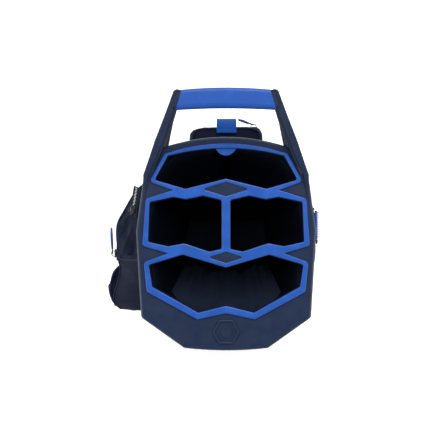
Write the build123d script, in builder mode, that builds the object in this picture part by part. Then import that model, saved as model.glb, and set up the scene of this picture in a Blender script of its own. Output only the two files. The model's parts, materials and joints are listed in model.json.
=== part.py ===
"""Golf stand bag: a moulded top collar with a lift handle and four club openings, a tapered fabric body on a
moulded base, zipped pockets, two carrying straps, and two legs that a hinged foot plate pushes out.

Millimetres. +Z runs up the bag, the legs are on the -Y side, the carrying straps and the lift handle on +Y.
The origin is on the floor, in the middle of the base.
"""

import os
from math import cos, radians, sin, tan

from build123d import *

# Heights along the bag
SKIRT_BOTTOM = 800.0  # lower edge of the collar's skirt
SHELL_TOP = 830.0  # top of the fabric body, hidden in the collar
RIM_TOP = 860.0  # face of the collar
GRID_TOP = 862.0  # the soft rims stand a little proud of that face
TAB_TOP = 859.5  # finger tab inside the woods compartment
BODY_FOOT = 12.0  # where the body's tapered sides are measured at the bottom
BASE_HEIGHT = 82.0
TREAD = 3.0
FLOOR = 20.0  # inside floor of the base
HANDLE_TOP = 911.0

# Walls and small thicknesses
SHELL_WALL = 3.5
BODY_CORNER = 14.0
BASE_WALL = 6.0
SHEET = 3.0
DIAMOND_DROP = 1.0
BADGE_HEIGHT = 1.0
WEBBING = 2.0

# Outlines, right half, from the front corner round to the back corner, with the middle of the back and front arcs
COLLAR = [(51, -127.5), (103.5, -90.5), (110, 14), (101, 83), (77.5, 117.5)]
COLLAR_BACK, COLLAR_FRONT = 130.5, -130.5
BODY_TOP = [(44, -113), (90, -80), (101, 12), (92, 79), (72, 110)]
BODY_TOP_BACK, BODY_TOP_FRONT = 123.0, -114.5
BODY_BASE = [(38, -94), (78, -66), (86, 10), (77, 68), (60, 91)]
BODY_BASE_BACK, BODY_BASE_FRONT = 101.0, -95.0

# The network of soft rims: its outer edge, its four openings and the two diamond insets
GRID_EDGE = [
    (0, -85.5), (35, -93), (96.8, -59.5), (100.6, -23), (71.6, -12.5), (102.4, -3.5), (98.4, 54.5),
    (65.8, 64.7), (94, 74.8), (75.5, 109.7),
]
GRID_BACK = 122.3
WOODS_OPENING = [(0, 79), (49.7, 66.5), (87.2, 77.5), (71.3, 106.6)]
WOODS_BACK = 116.2
MIDDLE_OPENING = [
    (5.5, -7), (20.4, -10.2), (51.3, 0), (70.5, -3.7), (95, 1.7), (93.2, 50), (64.3, 56.2),
    (48.7, 53.4), (28.3, 57.8), (5.5, 52.5),
]
FRONT_OPENING = [(0, -76), (33.8, -84.4), (89.8, -53), (94, -26.6), (52.9, -14.2), (0, -29.9)]
UPPER_DIAMOND = (27.6, 8.5, 66.0)  # half width, half height, middle y
LOWER_DIAMOND = (20.7, 6.6, -17.4)
TAB_RADIUS = 13.2
TAB_SET_BACK = 4.5  # the finger tab is less than half a disc

# Lift handle: arms rise from the collar's sides, and the grip bar joins them behind the bag
ARM_OUTER = [(101.5, 55), (101, 83), (86, 124), (61.2, 180.6)]
ARM_INNER = [(52.2, 180.6), (59, 158), (75, 119.5), (91.5, 83), (96.5, 55)]
LIP_WIDTH, LIP_DROP = 3.4, 5.0  # a lower lip runs along the inside of each arm
BAR_FRONT, BAR_BACK = 160.0, 178.5
BAR_ROOT = 4.5  # the bar's ends run in over the lips to the arms
BAR_BOTTOM, BAR_TOP = 896.0, 908.0
GRIP_SKIN = 2.5

# Stand mechanism
LEG_OUTWARD = 36.0  # degrees each leg swings away from straight ahead
LEG_HINGE_Z = 778.0
LEG_RADIUS = 6.5
LEG_REACH = 127.5  # distance of a leg's axis from the bag's axis
LEG_SIDE = 2.5
LEG_FOOT_Z = 62.0
LEG_BORE = 5.3
PIN_RADIUS = 3.0
RUNNING_GAP = 0.05
BALL_RADIUS = 4.5
EYE_PIN = 2.0
EYE_SLOT = 10.8
PLATE = 5.0
EYE_GAP = 0.1  # the rod's eye turns a little askew on its pin
BALL_HEIGHT = 560.0  # where a push rod joins its leg
BALL_OFFSET = 20.0  # from the leg's axis to the rod's
ROD_RADIUS = 2.5
ROD_FOOT = (60.0, -114.0, 14.0)  # where a rod meets the foot plate
HINGE_Y, HINGE_Z = -40.0, 7.0
HINGE_PIN = 2.0
KNUCKLE = 5.5
SLOPE = 31.5  # degrees of the base's sloped front underside

# Pockets, as plan outlines, with their lower and upper edges
APPAREL_OUT = 149.5
APPAREL_PLAN = [(-80, -22), (-APPAREL_OUT, -22), (-APPAREL_OUT, 32), (-129, 64), (-112, 83), (-80, 83)]
APPAREL_Z = (140.0, 768.0)
PANEL_TOP, PANEL_LOW = (-107.0, 767.0), (-160.0, 703.4)  # its slanted top, in x and z
BOTTLE_PLAN = [(-70, -24), (-152, -24), (-162, -40), (-166, -56), (-164, -74), (-158, -86), (-128, -93),
               (-111, -86), (-70, -60)]
BOTTLE_Z = (330.0, 668.0)
SIDE_OUT = 119.0
SIDE_PLAN = [(80, -52), (114, -46), (SIDE_OUT, -22), (SIDE_OUT, 48), (112, 60), (80, 62)]
SIDE_Z = (480.0, 752.0)
BALL_OUT = 144.0
BALL_PLAN = [(70, -60), (133, -50), (BALL_OUT, -14), (BALL_OUT, 40), (133, 66), (70, 72)]
BALL_Z = (112.0, 430.0)
SPINE_HALF, SPINE_BACK = 49.0, 155.5
SPINE_Z = (655.0, 770.0)


def closed_outline(half, back, front):
    """A face from the right half of an outline, with arcs across the middle of its back and front."""
    right = [(x, y) for x, y in half]
    left = [(-x, y) for x, y in half]
    with BuildSketch() as face:
        with BuildLine():
            Polyline(*right)
            Polyline(*left)
            ThreePointArc(right[-1], (0, back), left[-1])
            ThreePointArc(left[0], (0, front), right[0])
        make_face()
    return face.sketch


def body_solid(inset):
    """The tapered body as a solid, inset from its outer surface."""
    sections = [
        (closed_outline(BODY_BASE, BODY_BASE_BACK, BODY_BASE_FRONT), BODY_FOOT),
        (closed_outline(BODY_TOP, BODY_TOP_BACK, BODY_TOP_FRONT), SHELL_TOP),
    ]
    with BuildPart() as body:
        for outline, height in sections:
            with BuildSketch(Plane.XY.offset(height)) as section:
                add(outline)
                if inset:
                    offset(amount=-inset, kind=Kind.INTERSECTION, mode=Mode.REPLACE)
                fillet(section.vertices(), BODY_CORNER - inset)
        loft(ruled=True)
    return body.part


def slanted_block(profile):
    """A solid 400 mm wide with the given YZ profile, for cutting the base's sloped front."""
    with BuildPart() as block:
        with BuildSketch(Plane.YZ):
            with BuildLine():
                Polyline(*profile, close=True)
            make_face()
        extrude(amount=200, both=True)
    return block.part


def wall_plane(start, end, share, height):
    """A plane on an upright wall that runs from start to end in plan: x along the wall, y up, z outwards."""
    length = ((end[0] - start[0]) ** 2 + (end[1] - start[1]) ** 2) ** 0.5
    along = ((end[0] - start[0]) / length, (end[1] - start[1]) / length)
    x = start[0] + share * (end[0] - start[0])
    y = start[1] + share * (end[1] - start[1])
    return Plane(origin=(x, y, height), x_dir=(*along, 0), z_dir=(along[1], -along[0], 0))


def polygon_prism(points, low, high, corner=0.0):
    """An upright prism over a plan polygon, with its upright edges rounded."""
    with BuildPart() as prism:
        with BuildSketch(Plane.XY.offset(low)) as plan:
            with BuildLine():
                Polyline(*points, close=True)
            make_face()
            if corner:
                fillet(plan.vertices(), corner)
        extrude(amount=high - low)
    return prism.part


body_outer = body_solid(0)
body_inner = body_solid(SHELL_WALL)

# The floor inside the base, flat at the back and sloped over the foot plate, and everything below it
SLOPE_RISE = tan(radians(SLOPE))
FLOOR_FRONT = FLOOR + SLOPE_RISE * 90
below_floor = slanted_block([(140, -10), (140, FLOOR), (HINGE_Y, FLOOR), (HINGE_Y - 90, FLOOR_FRONT), (-130, -10)])


# ---------------------------------------------------------------- collar, rims and handle


def collar_section():
    """The collar's plan outline with rounded corners."""
    with BuildSketch() as section:
        add(closed_outline(COLLAR, COLLAR_BACK, COLLAR_FRONT))
        fillet(section.vertices(), 7)
    return section.sketch


def grid_outline():
    """The outer edge of the rims, which the collar's face is cut to."""
    right = GRID_EDGE
    left = [(-x, y) for x, y in reversed(GRID_EDGE) if x > 0]
    with BuildSketch() as outline:
        with BuildLine():
            Polyline(*left, *right)
            ThreePointArc(right[-1], (0, GRID_BACK), left[0])
        make_face()
        sharp = outline.vertices().filter_by(lambda v: abs(v.X) > 80)
        fillet(sharp, 5)
    return outline.sketch


def opening(points, arc_top=None, mirrored=True):
    """One club opening. With mirrored, points are its right half, starting on the centre line."""
    left = [(-x, y) for x, y in reversed(points) if x > 0]
    with BuildSketch() as face:
        with BuildLine():
            if not mirrored:
                Polyline(*points, close=True)
            elif arc_top:
                Polyline(*left, *points)
                ThreePointArc(points[-1], (0, arc_top), left[0])
            else:
                Polyline(*points, *left, close=True)
        make_face()
        fillet(face.vertices(), 2.5)
    return face.sketch


def diamond(half_width, half_height, middle):
    """A diamond inset between two openings."""
    corners = [(-half_width, middle), (0, middle - half_height), (half_width, middle), (0, middle + half_height)]
    with BuildSketch() as face:
        with BuildLine():
            Polyline(*corners, close=True)
        make_face()
        fillet(face.vertices(), 0.8)
    return face.sketch


ARM_SPLIT = [(x + LIP_WIDTH, y) for x, y in ARM_INNER]
ARM_TIP_Y = ARM_OUTER[-1][1]


def arm_plan(outline, tip_corner=0.0):
    """Both handle arms, or both of their lips, in plan."""
    with BuildSketch() as plan:
        with BuildLine():
            Polyline(*outline, close=True)
        make_face()
        if tip_corner:
            tip = plan.vertices().sort_by_distance((*ARM_OUTER[-1], 0))[0]
            fillet(tip, tip_corner)
        mirror(about=Plane.YZ)
    return plan.sketch


def arm_sides(drop):
    """The arms' side view as a solid across the whole collar, its top lowered by drop."""
    with BuildPart() as sides:
        with BuildSketch(Plane.YZ):
            with BuildLine():
                ThreePointArc((30, RIM_TOP - 1 - drop), (105, 871 - drop), (ARM_TIP_Y, HANDLE_TOP - drop))
                Polyline(
                    (ARM_TIP_Y, HANDLE_TOP - drop), (ARM_TIP_Y, 894), (160, 890), (146, 872), (128, 822), (122, 806),
                    (30, 830), (30, RIM_TOP - 1 - drop),
                )
            make_face()
        extrude(amount=150, both=True)
    return sides.part


def bar_plan(grow, root):
    """The handle's bar in plan, gently bowed, grown on its front and back by the grip's thickness."""
    front, back = BAR_FRONT - grow, BAR_BACK + grow
    (tip_x, tip_y), (inner_x, inner_y) = ARM_INNER[:2]
    lean = (inner_x - tip_x) / (tip_y - inner_y)
    half_front = tip_x + (tip_y - front) * lean + root
    half_back = tip_x + (tip_y - back) * lean + root
    with BuildSketch() as plan:
        with BuildLine():
            ThreePointArc((-half_front, front), (0, front + 2), (half_front, front))
            ThreePointArc((-half_back, back), (0, back + 2.5), (half_back, back))
            Line((half_front, front), (half_back, back))
            Line((-half_front, front), (-half_back, back))
        make_face()
    return plan.sketch


with BuildPart() as handle_arms:
    add(arm_sides(0))
    with BuildSketch(Plane.XY.offset(790)):
        add(arm_plan(ARM_OUTER + ARM_SPLIT, tip_corner=5))
    extrude(amount=150, mode=Mode.INTERSECT)

with BuildPart() as arm_lips:
    add(arm_sides(LIP_DROP))
    with BuildSketch(Plane.XY.offset(790)):
        add(arm_plan(ARM_SPLIT + ARM_INNER[::-1]))
    extrude(amount=150, mode=Mode.INTERSECT)

with BuildPart() as cuff:
    with BuildSketch(Plane.XY.offset(SKIRT_BOTTOM)):
        add(collar_section())
    extrude(amount=RIM_TOP - SKIRT_BOTTOM)
    fillet(cuff.faces().sort_by(Axis.Z)[-1].edges(), 3)
    add(handle_arms.part)
    add(arm_lips.part)
    with BuildSketch(Plane.XY.offset(BAR_BOTTOM)):
        add(bar_plan(0, BAR_ROOT))
    extrude(amount=BAR_TOP - BAR_BOTTOM)
    add(body_outer, mode=Mode.SUBTRACT)
    with BuildSketch(Plane.XY.offset(SHELL_TOP)):
        add(grid_outline())
    extrude(amount=60, mode=Mode.SUBTRACT)

with BuildPart() as divider_grid:
    with BuildSketch(Plane.XY.offset(SHELL_TOP)) as grid_face:
        add(grid_outline())
        add(opening(WOODS_OPENING, arc_top=WOODS_BACK), mode=Mode.SUBTRACT)
        add(opening(FRONT_OPENING), mode=Mode.SUBTRACT)
        for side in (1, -1):
            middle = opening([(side * x, y) for x, y in MIDDLE_OPENING], mirrored=False)
            add(middle, mode=Mode.SUBTRACT)
        for inset in (UPPER_DIAMOND, LOWER_DIAMOND):
            add(diamond(*inset), mode=Mode.SUBTRACT)
    extrude(amount=GRID_TOP - SHELL_TOP)
    fillet(divider_grid.faces().sort_by(Axis.Z)[-1].edges(), 1.6)
    with BuildSketch(Plane.XY.offset(TAB_TOP - 4)):
        with Locations((0, WOODS_BACK + TAB_SET_BACK)):
            Circle(TAB_RADIUS)
        with Locations((0, WOODS_BACK + 1 + TAB_RADIUS)):
            Rectangle(3 * TAB_RADIUS, 2 * TAB_RADIUS, mode=Mode.SUBTRACT)
    extrude(amount=4)

insets = {}
for name, inset in (("diamond_rear", UPPER_DIAMOND), ("diamond_front", LOWER_DIAMOND)):
    with BuildPart() as piece:
        with BuildSketch(Plane.XY.offset(SHELL_TOP)):
            add(diamond(*inset))
        extrude(amount=GRID_TOP - DIAMOND_DROP - SHELL_TOP)
    insets[name] = piece.part

with BuildPart() as handle_grip:
    with BuildSketch(Plane.XY.offset(BAR_BOTTOM - GRIP_SKIN)):
        add(bar_plan(GRIP_SKIN, 0))
    extrude(amount=BAR_TOP - BAR_BOTTOM + 2 * GRIP_SKIN)
    long_edges = handle_grip.edges().filter_by(lambda e: e.length > 80)
    fillet(long_edges, 5)
    with BuildSketch(Plane.XY.offset(BAR_BOTTOM)):
        add(bar_plan(0, BAR_ROOT))
    extrude(amount=BAR_TOP - BAR_BOTTOM, mode=Mode.SUBTRACT)

with BuildPart() as face_badge:
    with BuildSketch(Plane.XY.offset(RIM_TOP)):
        with Locations((0, -108)):
            RegularPolygon(17, 6)
            RegularPolygon(13.5, 6, mode=Mode.SUBTRACT)
            RegularPolygon(7.5, 6)
    extrude(amount=BADGE_HEIGHT)

RIVET_WALLS = [(COLLAR[1], COLLAR[2], 0.25), (COLLAR[1], COLLAR[2], 0.85), (COLLAR[2], COLLAR[3], 0.7)]
with BuildPart() as collar_rivets:
    for start, end, share in RIVET_WALLS:
        with BuildSketch(wall_plane(start, end, share, 812)):
            Circle(4)
        extrude(amount=1.6)
    mirror(about=Plane.YZ)

# ---------------------------------------------------------------- body, base and the sheets inside

with BuildPart() as body_shell:
    add(body_outer)
    add(body_inner, mode=Mode.SUBTRACT)
    add(below_floor, mode=Mode.SUBTRACT)

above_floor = body_outer - below_floor
under_plate = slanted_block(
    [(-33, -1), (-33, 13.5), (-47, 13.5), (-130, 13.5 + 83 * SLOPE_RISE), (-130, -1)]
)

with BuildPart() as base_cup:
    with BuildSketch(Plane.XY.offset(TREAD)) as base_plan:
        add(closed_outline(BODY_BASE, BODY_BASE_BACK, BODY_BASE_FRONT))
        offset(amount=BASE_WALL, kind=Kind.INTERSECTION, mode=Mode.REPLACE)
        fillet(base_plan.vertices(), 16)
    extrude(amount=BASE_HEIGHT - TREAD)
    fillet(base_cup.faces().sort_by(Axis.Z)[-1].edges(), 2)
    add(above_floor, mode=Mode.SUBTRACT)
    add(under_plate, mode=Mode.SUBTRACT)
    for x in (-28, 28):
        with Locations((x, HINGE_Y, HINGE_Z + 3)):
            Box(10, 10, 13)
    with BuildSketch(Plane.YZ):
        with Locations((HINGE_Y, HINGE_Z)):
            Circle(HINGE_PIN)
    extrude(amount=50, both=True, mode=Mode.SUBTRACT)

with BuildPart() as base_tread:
    with BuildSketch() as tread_plan:
        add(closed_outline(BODY_BASE, BODY_BASE_BACK, BODY_BASE_FRONT))
        fillet(tread_plan.vertices(), 12)
        with Locations((0, -31 - 50)):
            Rectangle(240, 100, mode=Mode.SUBTRACT)
    extrude(amount=TREAD)


def divider_sheet(points):
    """A full-length fabric divider under one of the collar's zigzag bars."""
    with BuildPart() as sheet:
        with BuildSketch():
            with BuildLine() as middle:
                Polyline(*points)
            trace(middle.line, SHEET)
        extrude(amount=SHELL_TOP)
        add(body_inner, mode=Mode.INTERSECT)
        add(below_floor, mode=Mode.SUBTRACT)
    return sheet.part


rear_sheet = divider_sheet([(-110, 65), (-49, 59.5), (0, 66), (49, 59.5), (110, 65)])
front_sheet = divider_sheet([(-110, -12), (-52, -5.5), (0, -17), (52, -5.5), (110, -12)])
with BuildPart() as middle_sheet:
    with BuildSketch():
        with Locations((0, 25)):
            Rectangle(SHEET, 110)
    extrude(amount=SHELL_TOP)
    add(body_inner, mode=Mode.INTERSECT)
    add(below_floor, mode=Mode.SUBTRACT)
    add(rear_sheet, mode=Mode.SUBTRACT)
    add(front_sheet, mode=Mode.SUBTRACT)
    bay = middle_sheet.solids().sort_by_distance((0, 25, 400))[0]
    add(bay, mode=Mode.REPLACE)


def stay(top, bottom):
    """A flat stiffening strip just inside the fabric, between two points on its inner face."""
    run = Vector(*top) - Vector(*bottom)
    outward = Vector(top[0], top[1], 0).normalized()
    with BuildPart() as strip:
        with BuildSketch(Plane(origin=bottom, x_dir=run.cross(outward), z_dir=run)):
            Rectangle(14, 2.5)
        extrude(amount=run.length)
    return strip.part


spine_stay = stay((0, 116.5, 828), (0, 94.9, 20.2))

# ---------------------------------------------------------------- stand mechanism, right side, mirrored later

OUT = (sin(radians(LEG_OUTWARD)), -cos(radians(LEG_OUTWARD)))
SIDE = (-cos(radians(LEG_OUTWARD)), -sin(radians(LEG_OUTWARD)))


def beside_leg(side, out=0.0):
    """A plan point, by its distance sideways and outwards from the leg's axis."""
    reach, across = LEG_REACH + out, LEG_SIDE + side
    return (OUT[0] * reach + SIDE[0] * across, OUT[1] * reach + SIDE[1] * across)


def leg_plane(height, side=0.0, out=0.0):
    """A level plane on the leg's axis: x sideways, y outwards."""
    return Plane(origin=(*beside_leg(side, out), height), x_dir=(*SIDE, 0), z_dir=(0, 0, 1))


def hinge_plane(height, side=0.0, out=0.0):
    """An upright plane across the leg's hinge line: x inwards, y up."""
    return Plane(origin=(*beside_leg(side, out), height), x_dir=(-OUT[0], -OUT[1], 0), z_dir=(-SIDE[0], -SIDE[1], 0))


EAR_GAP, EAR = 10.6, 4.0
PIN_LENGTH = EAR_GAP + 2 * EAR

with BuildPart() as leg_bracket:
    with BuildSketch(hinge_plane(LEG_HINGE_Z)):
        with BuildLine():
            Polyline((20, -19), (7.5, -19), (-3, -6.5), (-7, -2), (-7, 4), (-3, 8), (7.5, 18), (20, 18), close=True)
        make_face()
    extrude(amount=PIN_LENGTH / 2, both=True)
    with BuildSketch(hinge_plane(LEG_HINGE_Z)):
        with Locations((13, -0.5)):
            Rectangle(11, 37)
    extrude(amount=21, both=True)
    with BuildSketch(hinge_plane(LEG_HINGE_Z)):
        with Locations((-42.5, 0)):
            Rectangle(100, 80)
    extrude(amount=EAR_GAP / 2, both=True, mode=Mode.SUBTRACT)
    with BuildSketch(hinge_plane(LEG_HINGE_Z)):
        Circle(PIN_RADIUS)
    extrude(amount=40, both=True, mode=Mode.SUBTRACT)
    add(body_outer, mode=Mode.SUBTRACT)

with BuildPart() as leg_pin:
    with BuildSketch(hinge_plane(LEG_HINGE_Z)):
        Circle(PIN_RADIUS)
    extrude(amount=PIN_LENGTH / 2, both=True)

with BuildPart() as leg_head:
    with BuildSketch(hinge_plane(LEG_HINGE_Z)):
        Circle(6)
        with Locations((0, -12)):
            Rectangle(11, 24)
    extrude(amount=5, both=True)
    with BuildSketch(leg_plane(LEG_HINGE_Z - 34)):
        Circle(7.5)
    extrude(amount=12)
    with BuildSketch(leg_plane(LEG_HINGE_Z - 64)):
        Circle(LEG_BORE)
    extrude(amount=32)
    with BuildSketch(hinge_plane(LEG_HINGE_Z)):
        Circle(PIN_RADIUS + RUNNING_GAP)
    extrude(amount=20, both=True, mode=Mode.SUBTRACT)

with BuildPart() as leg_tube:
    with BuildSketch(leg_plane(LEG_FOOT_Z + 12)):
        Circle(LEG_RADIUS)
        Circle(LEG_BORE, mode=Mode.SUBTRACT)
    extrude(amount=LEG_HINGE_Z - 34 - LEG_FOOT_Z - 12)

with BuildPart() as leg_foot:
    with BuildSketch(hinge_plane(LEG_FOOT_Z)):
        with BuildLine():
            Polyline((0, 0), (9, 0), (12, 4), (12, 14), (9.2, 22), (9.2, 52), (0, 52), close=True)
        make_face()
    revolve(axis=Axis(origin=(*beside_leg(0), 0), direction=(0, 0, 1)))
    add(leg_tube.part, mode=Mode.SUBTRACT)

ROD_TOP = (*beside_leg(BALL_OFFSET), BALL_HEIGHT)
rod_run = Vector(*ROD_TOP) - Vector(*ROD_FOOT)
rod_plane = Plane(origin=ROD_FOOT, z_dir=rod_run)

with BuildPart() as leg_clamp:
    with BuildSketch(leg_plane(BALL_HEIGHT - 9)):
        Circle(10.5)
        with Locations((BALL_OFFSET / 2 + 4.4, 1.5)):
            Rectangle(BALL_OFFSET + 8.8, 15)
    extrude(amount=18)
    with BuildSketch(leg_plane(BALL_HEIGHT - 20)):
        Circle(LEG_RADIUS)
        with Locations((BALL_OFFSET, -7)):
            Rectangle(EYE_SLOT, 26)
    extrude(amount=40, mode=Mode.SUBTRACT)
    with BuildSketch(hinge_plane(BALL_HEIGHT, side=BALL_OFFSET)):
        Circle(EYE_PIN)
    extrude(amount=EYE_SLOT / 2 + 2, both=True)

with BuildPart() as push_rod:
    with BuildSketch(rod_plane):
        Circle(ROD_RADIUS)
    extrude(amount=rod_run.length)
    with Locations(ROD_TOP):
        Sphere(BALL_RADIUS)
    with Locations(ROD_FOOT):
        Sphere(4)
    with BuildSketch(hinge_plane(BALL_HEIGHT, side=BALL_OFFSET)):
        Circle(EYE_PIN + EYE_GAP)
    extrude(amount=10, both=True, mode=Mode.SUBTRACT)

with BuildPart() as foot_plate:
    with BuildSketch():
        with BuildLine():
            Polyline(
                (70, HINGE_Y - 4), (77, -70), (75, -112), (66, -124), (-66, -124), (-75, -112), (-77, -70),
                (-70, HINGE_Y - 4), close=True,
            )
        make_face()
        for side in (1, -1):
            with Locations((side * ROD_FOOT[0], ROD_FOOT[1] + 2)):
                SlotOverall(18, 13, rotation=90, mode=Mode.SUBTRACT)
    extrude(amount=PLATE)
    for low, high in ((-66, -34), (-22, 22), (34, 66)):
        with BuildSketch(Plane.YZ.offset(low)):
            with Locations((HINGE_Y, HINGE_Z)):
                Circle(KNUCKLE)
            with Locations((HINGE_Y - 5, PLATE / 2)):
                Rectangle(10, PLATE)
        extrude(amount=high - low)
    for side in (1, -1):
        for x in (ROD_FOOT[0] - 8, ROD_FOOT[0] + 8):
            with BuildSketch(Plane.YZ.offset(side * x - 1.75)):
                with BuildLine():
                    Polyline((-122, 4), (-119, 19), (-109, 19), (-104, 4), close=True)
                make_face()
            extrude(amount=3.5)
    with BuildSketch(Plane.XY.offset(-1)):
        for x in (-28, 28):
            with Locations((x, HINGE_Y - 2)):
                Rectangle(12, 16)
    extrude(amount=30, mode=Mode.SUBTRACT)
    with BuildSketch(Plane.YZ):
        with Locations((HINGE_Y, HINGE_Z)):
            Circle(HINGE_PIN + RUNNING_GAP)
    extrude(amount=100, both=True, mode=Mode.SUBTRACT)

with BuildPart() as foot_pin:
    with BuildSketch(Plane.YZ):
        with Locations((HINGE_Y, HINGE_Z)):
            Circle(HINGE_PIN)
    extrude(amount=66, both=True)

# ---------------------------------------------------------------- pockets

with BuildPart() as apparel_pocket:
    add(polygon_prism(APPAREL_PLAN, *APPAREL_Z, corner=6))
    with BuildSketch(Plane.XZ):
        with BuildLine():
            Polyline(PANEL_TOP, PANEL_LOW, (-190, PANEL_LOW[1]), (-190, 775), (PANEL_TOP[0], 775), close=True)
        make_face()
    extrude(amount=200, both=True, mode=Mode.SUBTRACT)
    add(body_outer, mode=Mode.SUBTRACT)

with BuildPart() as bottle_pocket:
    add(polygon_prism(BOTTLE_PLAN, *BOTTLE_Z, corner=4))
    add(body_outer, mode=Mode.SUBTRACT)

with BuildPart() as side_pocket:
    add(polygon_prism(SIDE_PLAN, *SIDE_Z, corner=6))
    add(body_outer, mode=Mode.SUBTRACT)

with BuildPart() as ball_pocket:
    add(polygon_prism(BALL_PLAN, *BALL_Z, corner=10))
    add(body_outer, mode=Mode.SUBTRACT)

with BuildPart() as spine_pocket:
    with BuildSketch(Plane.XY.offset(SPINE_Z[0])):
        with Locations((0, SPINE_BACK - 30)):
            RectangleRounded(2 * SPINE_HALF, 60, 12)
    extrude(amount=SPINE_Z[1] - SPINE_Z[0])
    add(body_outer, mode=Mode.SUBTRACT)

# ---------------------------------------------------------------- zips: x along the zip, y across, z outwards

SLIDER_LOW, SLIDER_HIGH = 2.4, 5.4
BAIL_Z = 7.6


def zip_tape(plane, length):
    """A zip: two tapes and its closed teeth, from the plane's origin along x."""
    with BuildPart() as zipper:
        with BuildSketch(plane):
            with Locations((length / 2, 0)):
                Rectangle(length, 18)
        extrude(amount=1)
        with BuildSketch(plane.offset(1)):
            with Locations((length / 2, 0)):
                Rectangle(length - 4, 5)
        extrude(amount=1.2)
    return zipper.part


def zip_slider(plane, place):
    """The slider at a place along the zip, with a bail for its pull."""
    with BuildPart() as slider:
        with BuildSketch(plane.offset(SLIDER_LOW)):
            with Locations((place, 0)):
                RectangleRounded(13, 9, 2.5)
        extrude(amount=SLIDER_HIGH - SLIDER_LOW)
        with BuildSketch(plane.offset(SLIDER_HIGH)):
            with Locations((place, 0)):
                Rectangle(5, 3.6)
        extrude(amount=4)
        bail = Plane(origin=plane.from_local_coords((place, 0, BAIL_Z)), x_dir=plane.x_dir, z_dir=plane.y_dir)
        with BuildSketch(bail):
            Circle(1.0 + RUNNING_GAP)
        extrude(amount=5, both=True, mode=Mode.SUBTRACT)
    return slider.part


def zip_pull(plane, place, length):
    """The pull that hangs on the slider's bail, lying along the zip."""
    pin_plane = Plane(origin=plane.from_local_coords((place, 0, BAIL_Z)), x_dir=plane.x_dir, z_dir=plane.y_dir)
    with BuildPart() as pull:
        with BuildSketch(pin_plane):
            Circle(1.0)
        extrude(amount=3.6, both=True)
        with BuildSketch(plane.offset(BAIL_Z - 1)):
            for y in (-2.9, 2.9):
                with Locations((place + 3.5, y)):
                    Rectangle(9, 1.4)
            with Locations((place + 6 + (length - 6) / 2, 0)):
                RectangleRounded(length - 6, 10, 3)
        extrude(amount=2)
    return pull.part


panel_run = Vector(PANEL_LOW[0] - PANEL_TOP[0], 0, PANEL_LOW[1] - PANEL_TOP[1])


def on_panel(x, y):
    """A point on the slanted top of the apparel pocket."""
    return Vector(x, y, PANEL_TOP[1] + (x - PANEL_TOP[0]) * panel_run.Z / panel_run.X)


valuables_start, valuables_end = on_panel(-116.5, 76), on_panel(-123.5, 37)
valuables_plane = Plane(
    origin=valuables_start,
    x_dir=valuables_end - valuables_start,
    z_dir=Vector(panel_run.Z, 0, -panel_run.X),
)

ZIPS = {
    # name: (plane, length, where its slider stands, its pull's length)
    "spine": (Plane(origin=(45, SPINE_BACK, 722), x_dir=(-1, 0, 0), z_dir=(0, 1, 0)), 82.0, 8.0, 22.0),
    "phone": (Plane(origin=(-APPAREL_OUT, -21, 690), x_dir=(0, 1, 0), z_dir=(-1, 0, 0)), 50.0, 10.0, 36.0),
    "valuables": (valuables_plane, 40.0, 31.0, None),
    "apparel": (Plane(origin=(-APPAREL_OUT, 8, 672), x_dir=(0, 0, -1), z_dir=(-1, 0, 0)), 500.0, 488.0, 30.0),
    "ball": (Plane(origin=(BALL_OUT, 12, 400), x_dir=(0, 0, -1), z_dir=(1, 0, 0)), 260.0, 12.0, 30.0),
}
zips = {}
for name, (plane, length, place, pull_length) in ZIPS.items():
    zips[f"{name}_zip"] = zip_tape(plane, length)
    zips[f"{name}_slider"] = zip_slider(plane, place)
    if pull_length:
        zips[f"{name}_pull"] = zip_pull(plane, place, pull_length)

# ---------------------------------------------------------------- webbing, straps and hip pad on the back

with BuildPart() as spine_loop:
    with BuildSketch(Plane.YZ.offset(-12.6)):
        with BuildLine():
            Polyline(
                (SPINE_BACK, 736), (161.5, 741), (166.5, 750), (166.5, 764), (160, 773), (145, 773), (145, 770),
                (158.5, 770), (163.7, 762.5), (163.7, 752), (160, 744.5), (SPINE_BACK, 741), close=True,
            )
        make_face()
    extrude(amount=26.6)

with BuildPart() as side_webbing:
    with BuildSketch(Plane.XZ.offset(-7)):
        with BuildLine():
            Polyline(
                (SIDE_OUT, 745), (122.5, 735), (124.5, 700), (124.5, 645), (122.5, 610), (SIDE_OUT, 600),
                (SIDE_OUT, 604), (120.7, 612), (122.5, 645), (122.5, 700), (120.7, 733), (SIDE_OUT, 741), close=True,
            )
        make_face()
    extrude(amount=-39)

BACK_RUN = Vector(0, BODY_TOP_BACK - BODY_BASE_BACK, SHELL_TOP - BODY_FOOT)
back_plane = Plane(
    origin=(0, BODY_BASE_BACK, BODY_FOOT), x_dir=(-1, 0, 0), z_dir=Vector(0, BACK_RUN.Z, -BACK_RUN.Y)
)
PAD_OUT = 16.0

with BuildPart() as hip_pad:
    with BuildSketch(back_plane.offset(-14)):
        with Locations((0, 425)):
            RectangleRounded(112, 250, 26)
    extrude(amount=14 + PAD_OUT)
    add(body_outer, mode=Mode.SUBTRACT)

STRAP_PATH = [(14, 612), (34, 540), (44, 430), (42, 320), (31, 235)]
with BuildPart() as strap_pad:
    with BuildSketch(back_plane.offset(PAD_OUT)):
        with BuildLine() as strap_line:
            Spline(*STRAP_PATH)
        trace(strap_line.line, 52)
    extrude(amount=13)
    with BuildSketch(back_plane.offset(PAD_OUT - 1)):
        with Locations((-99.6, 400)):
            Rectangle(200, 900)
    extrude(amount=20, mode=Mode.SUBTRACT)

with BuildPart() as strap_disc:
    with BuildSketch(back_plane.offset(PAD_OUT + 13)):
        with Locations((0, 590)):
            Circle(24)
    extrude(amount=5)
    fillet(strap_disc.faces().sort_by(Axis.Y)[-1].edges(), 2)

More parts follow.
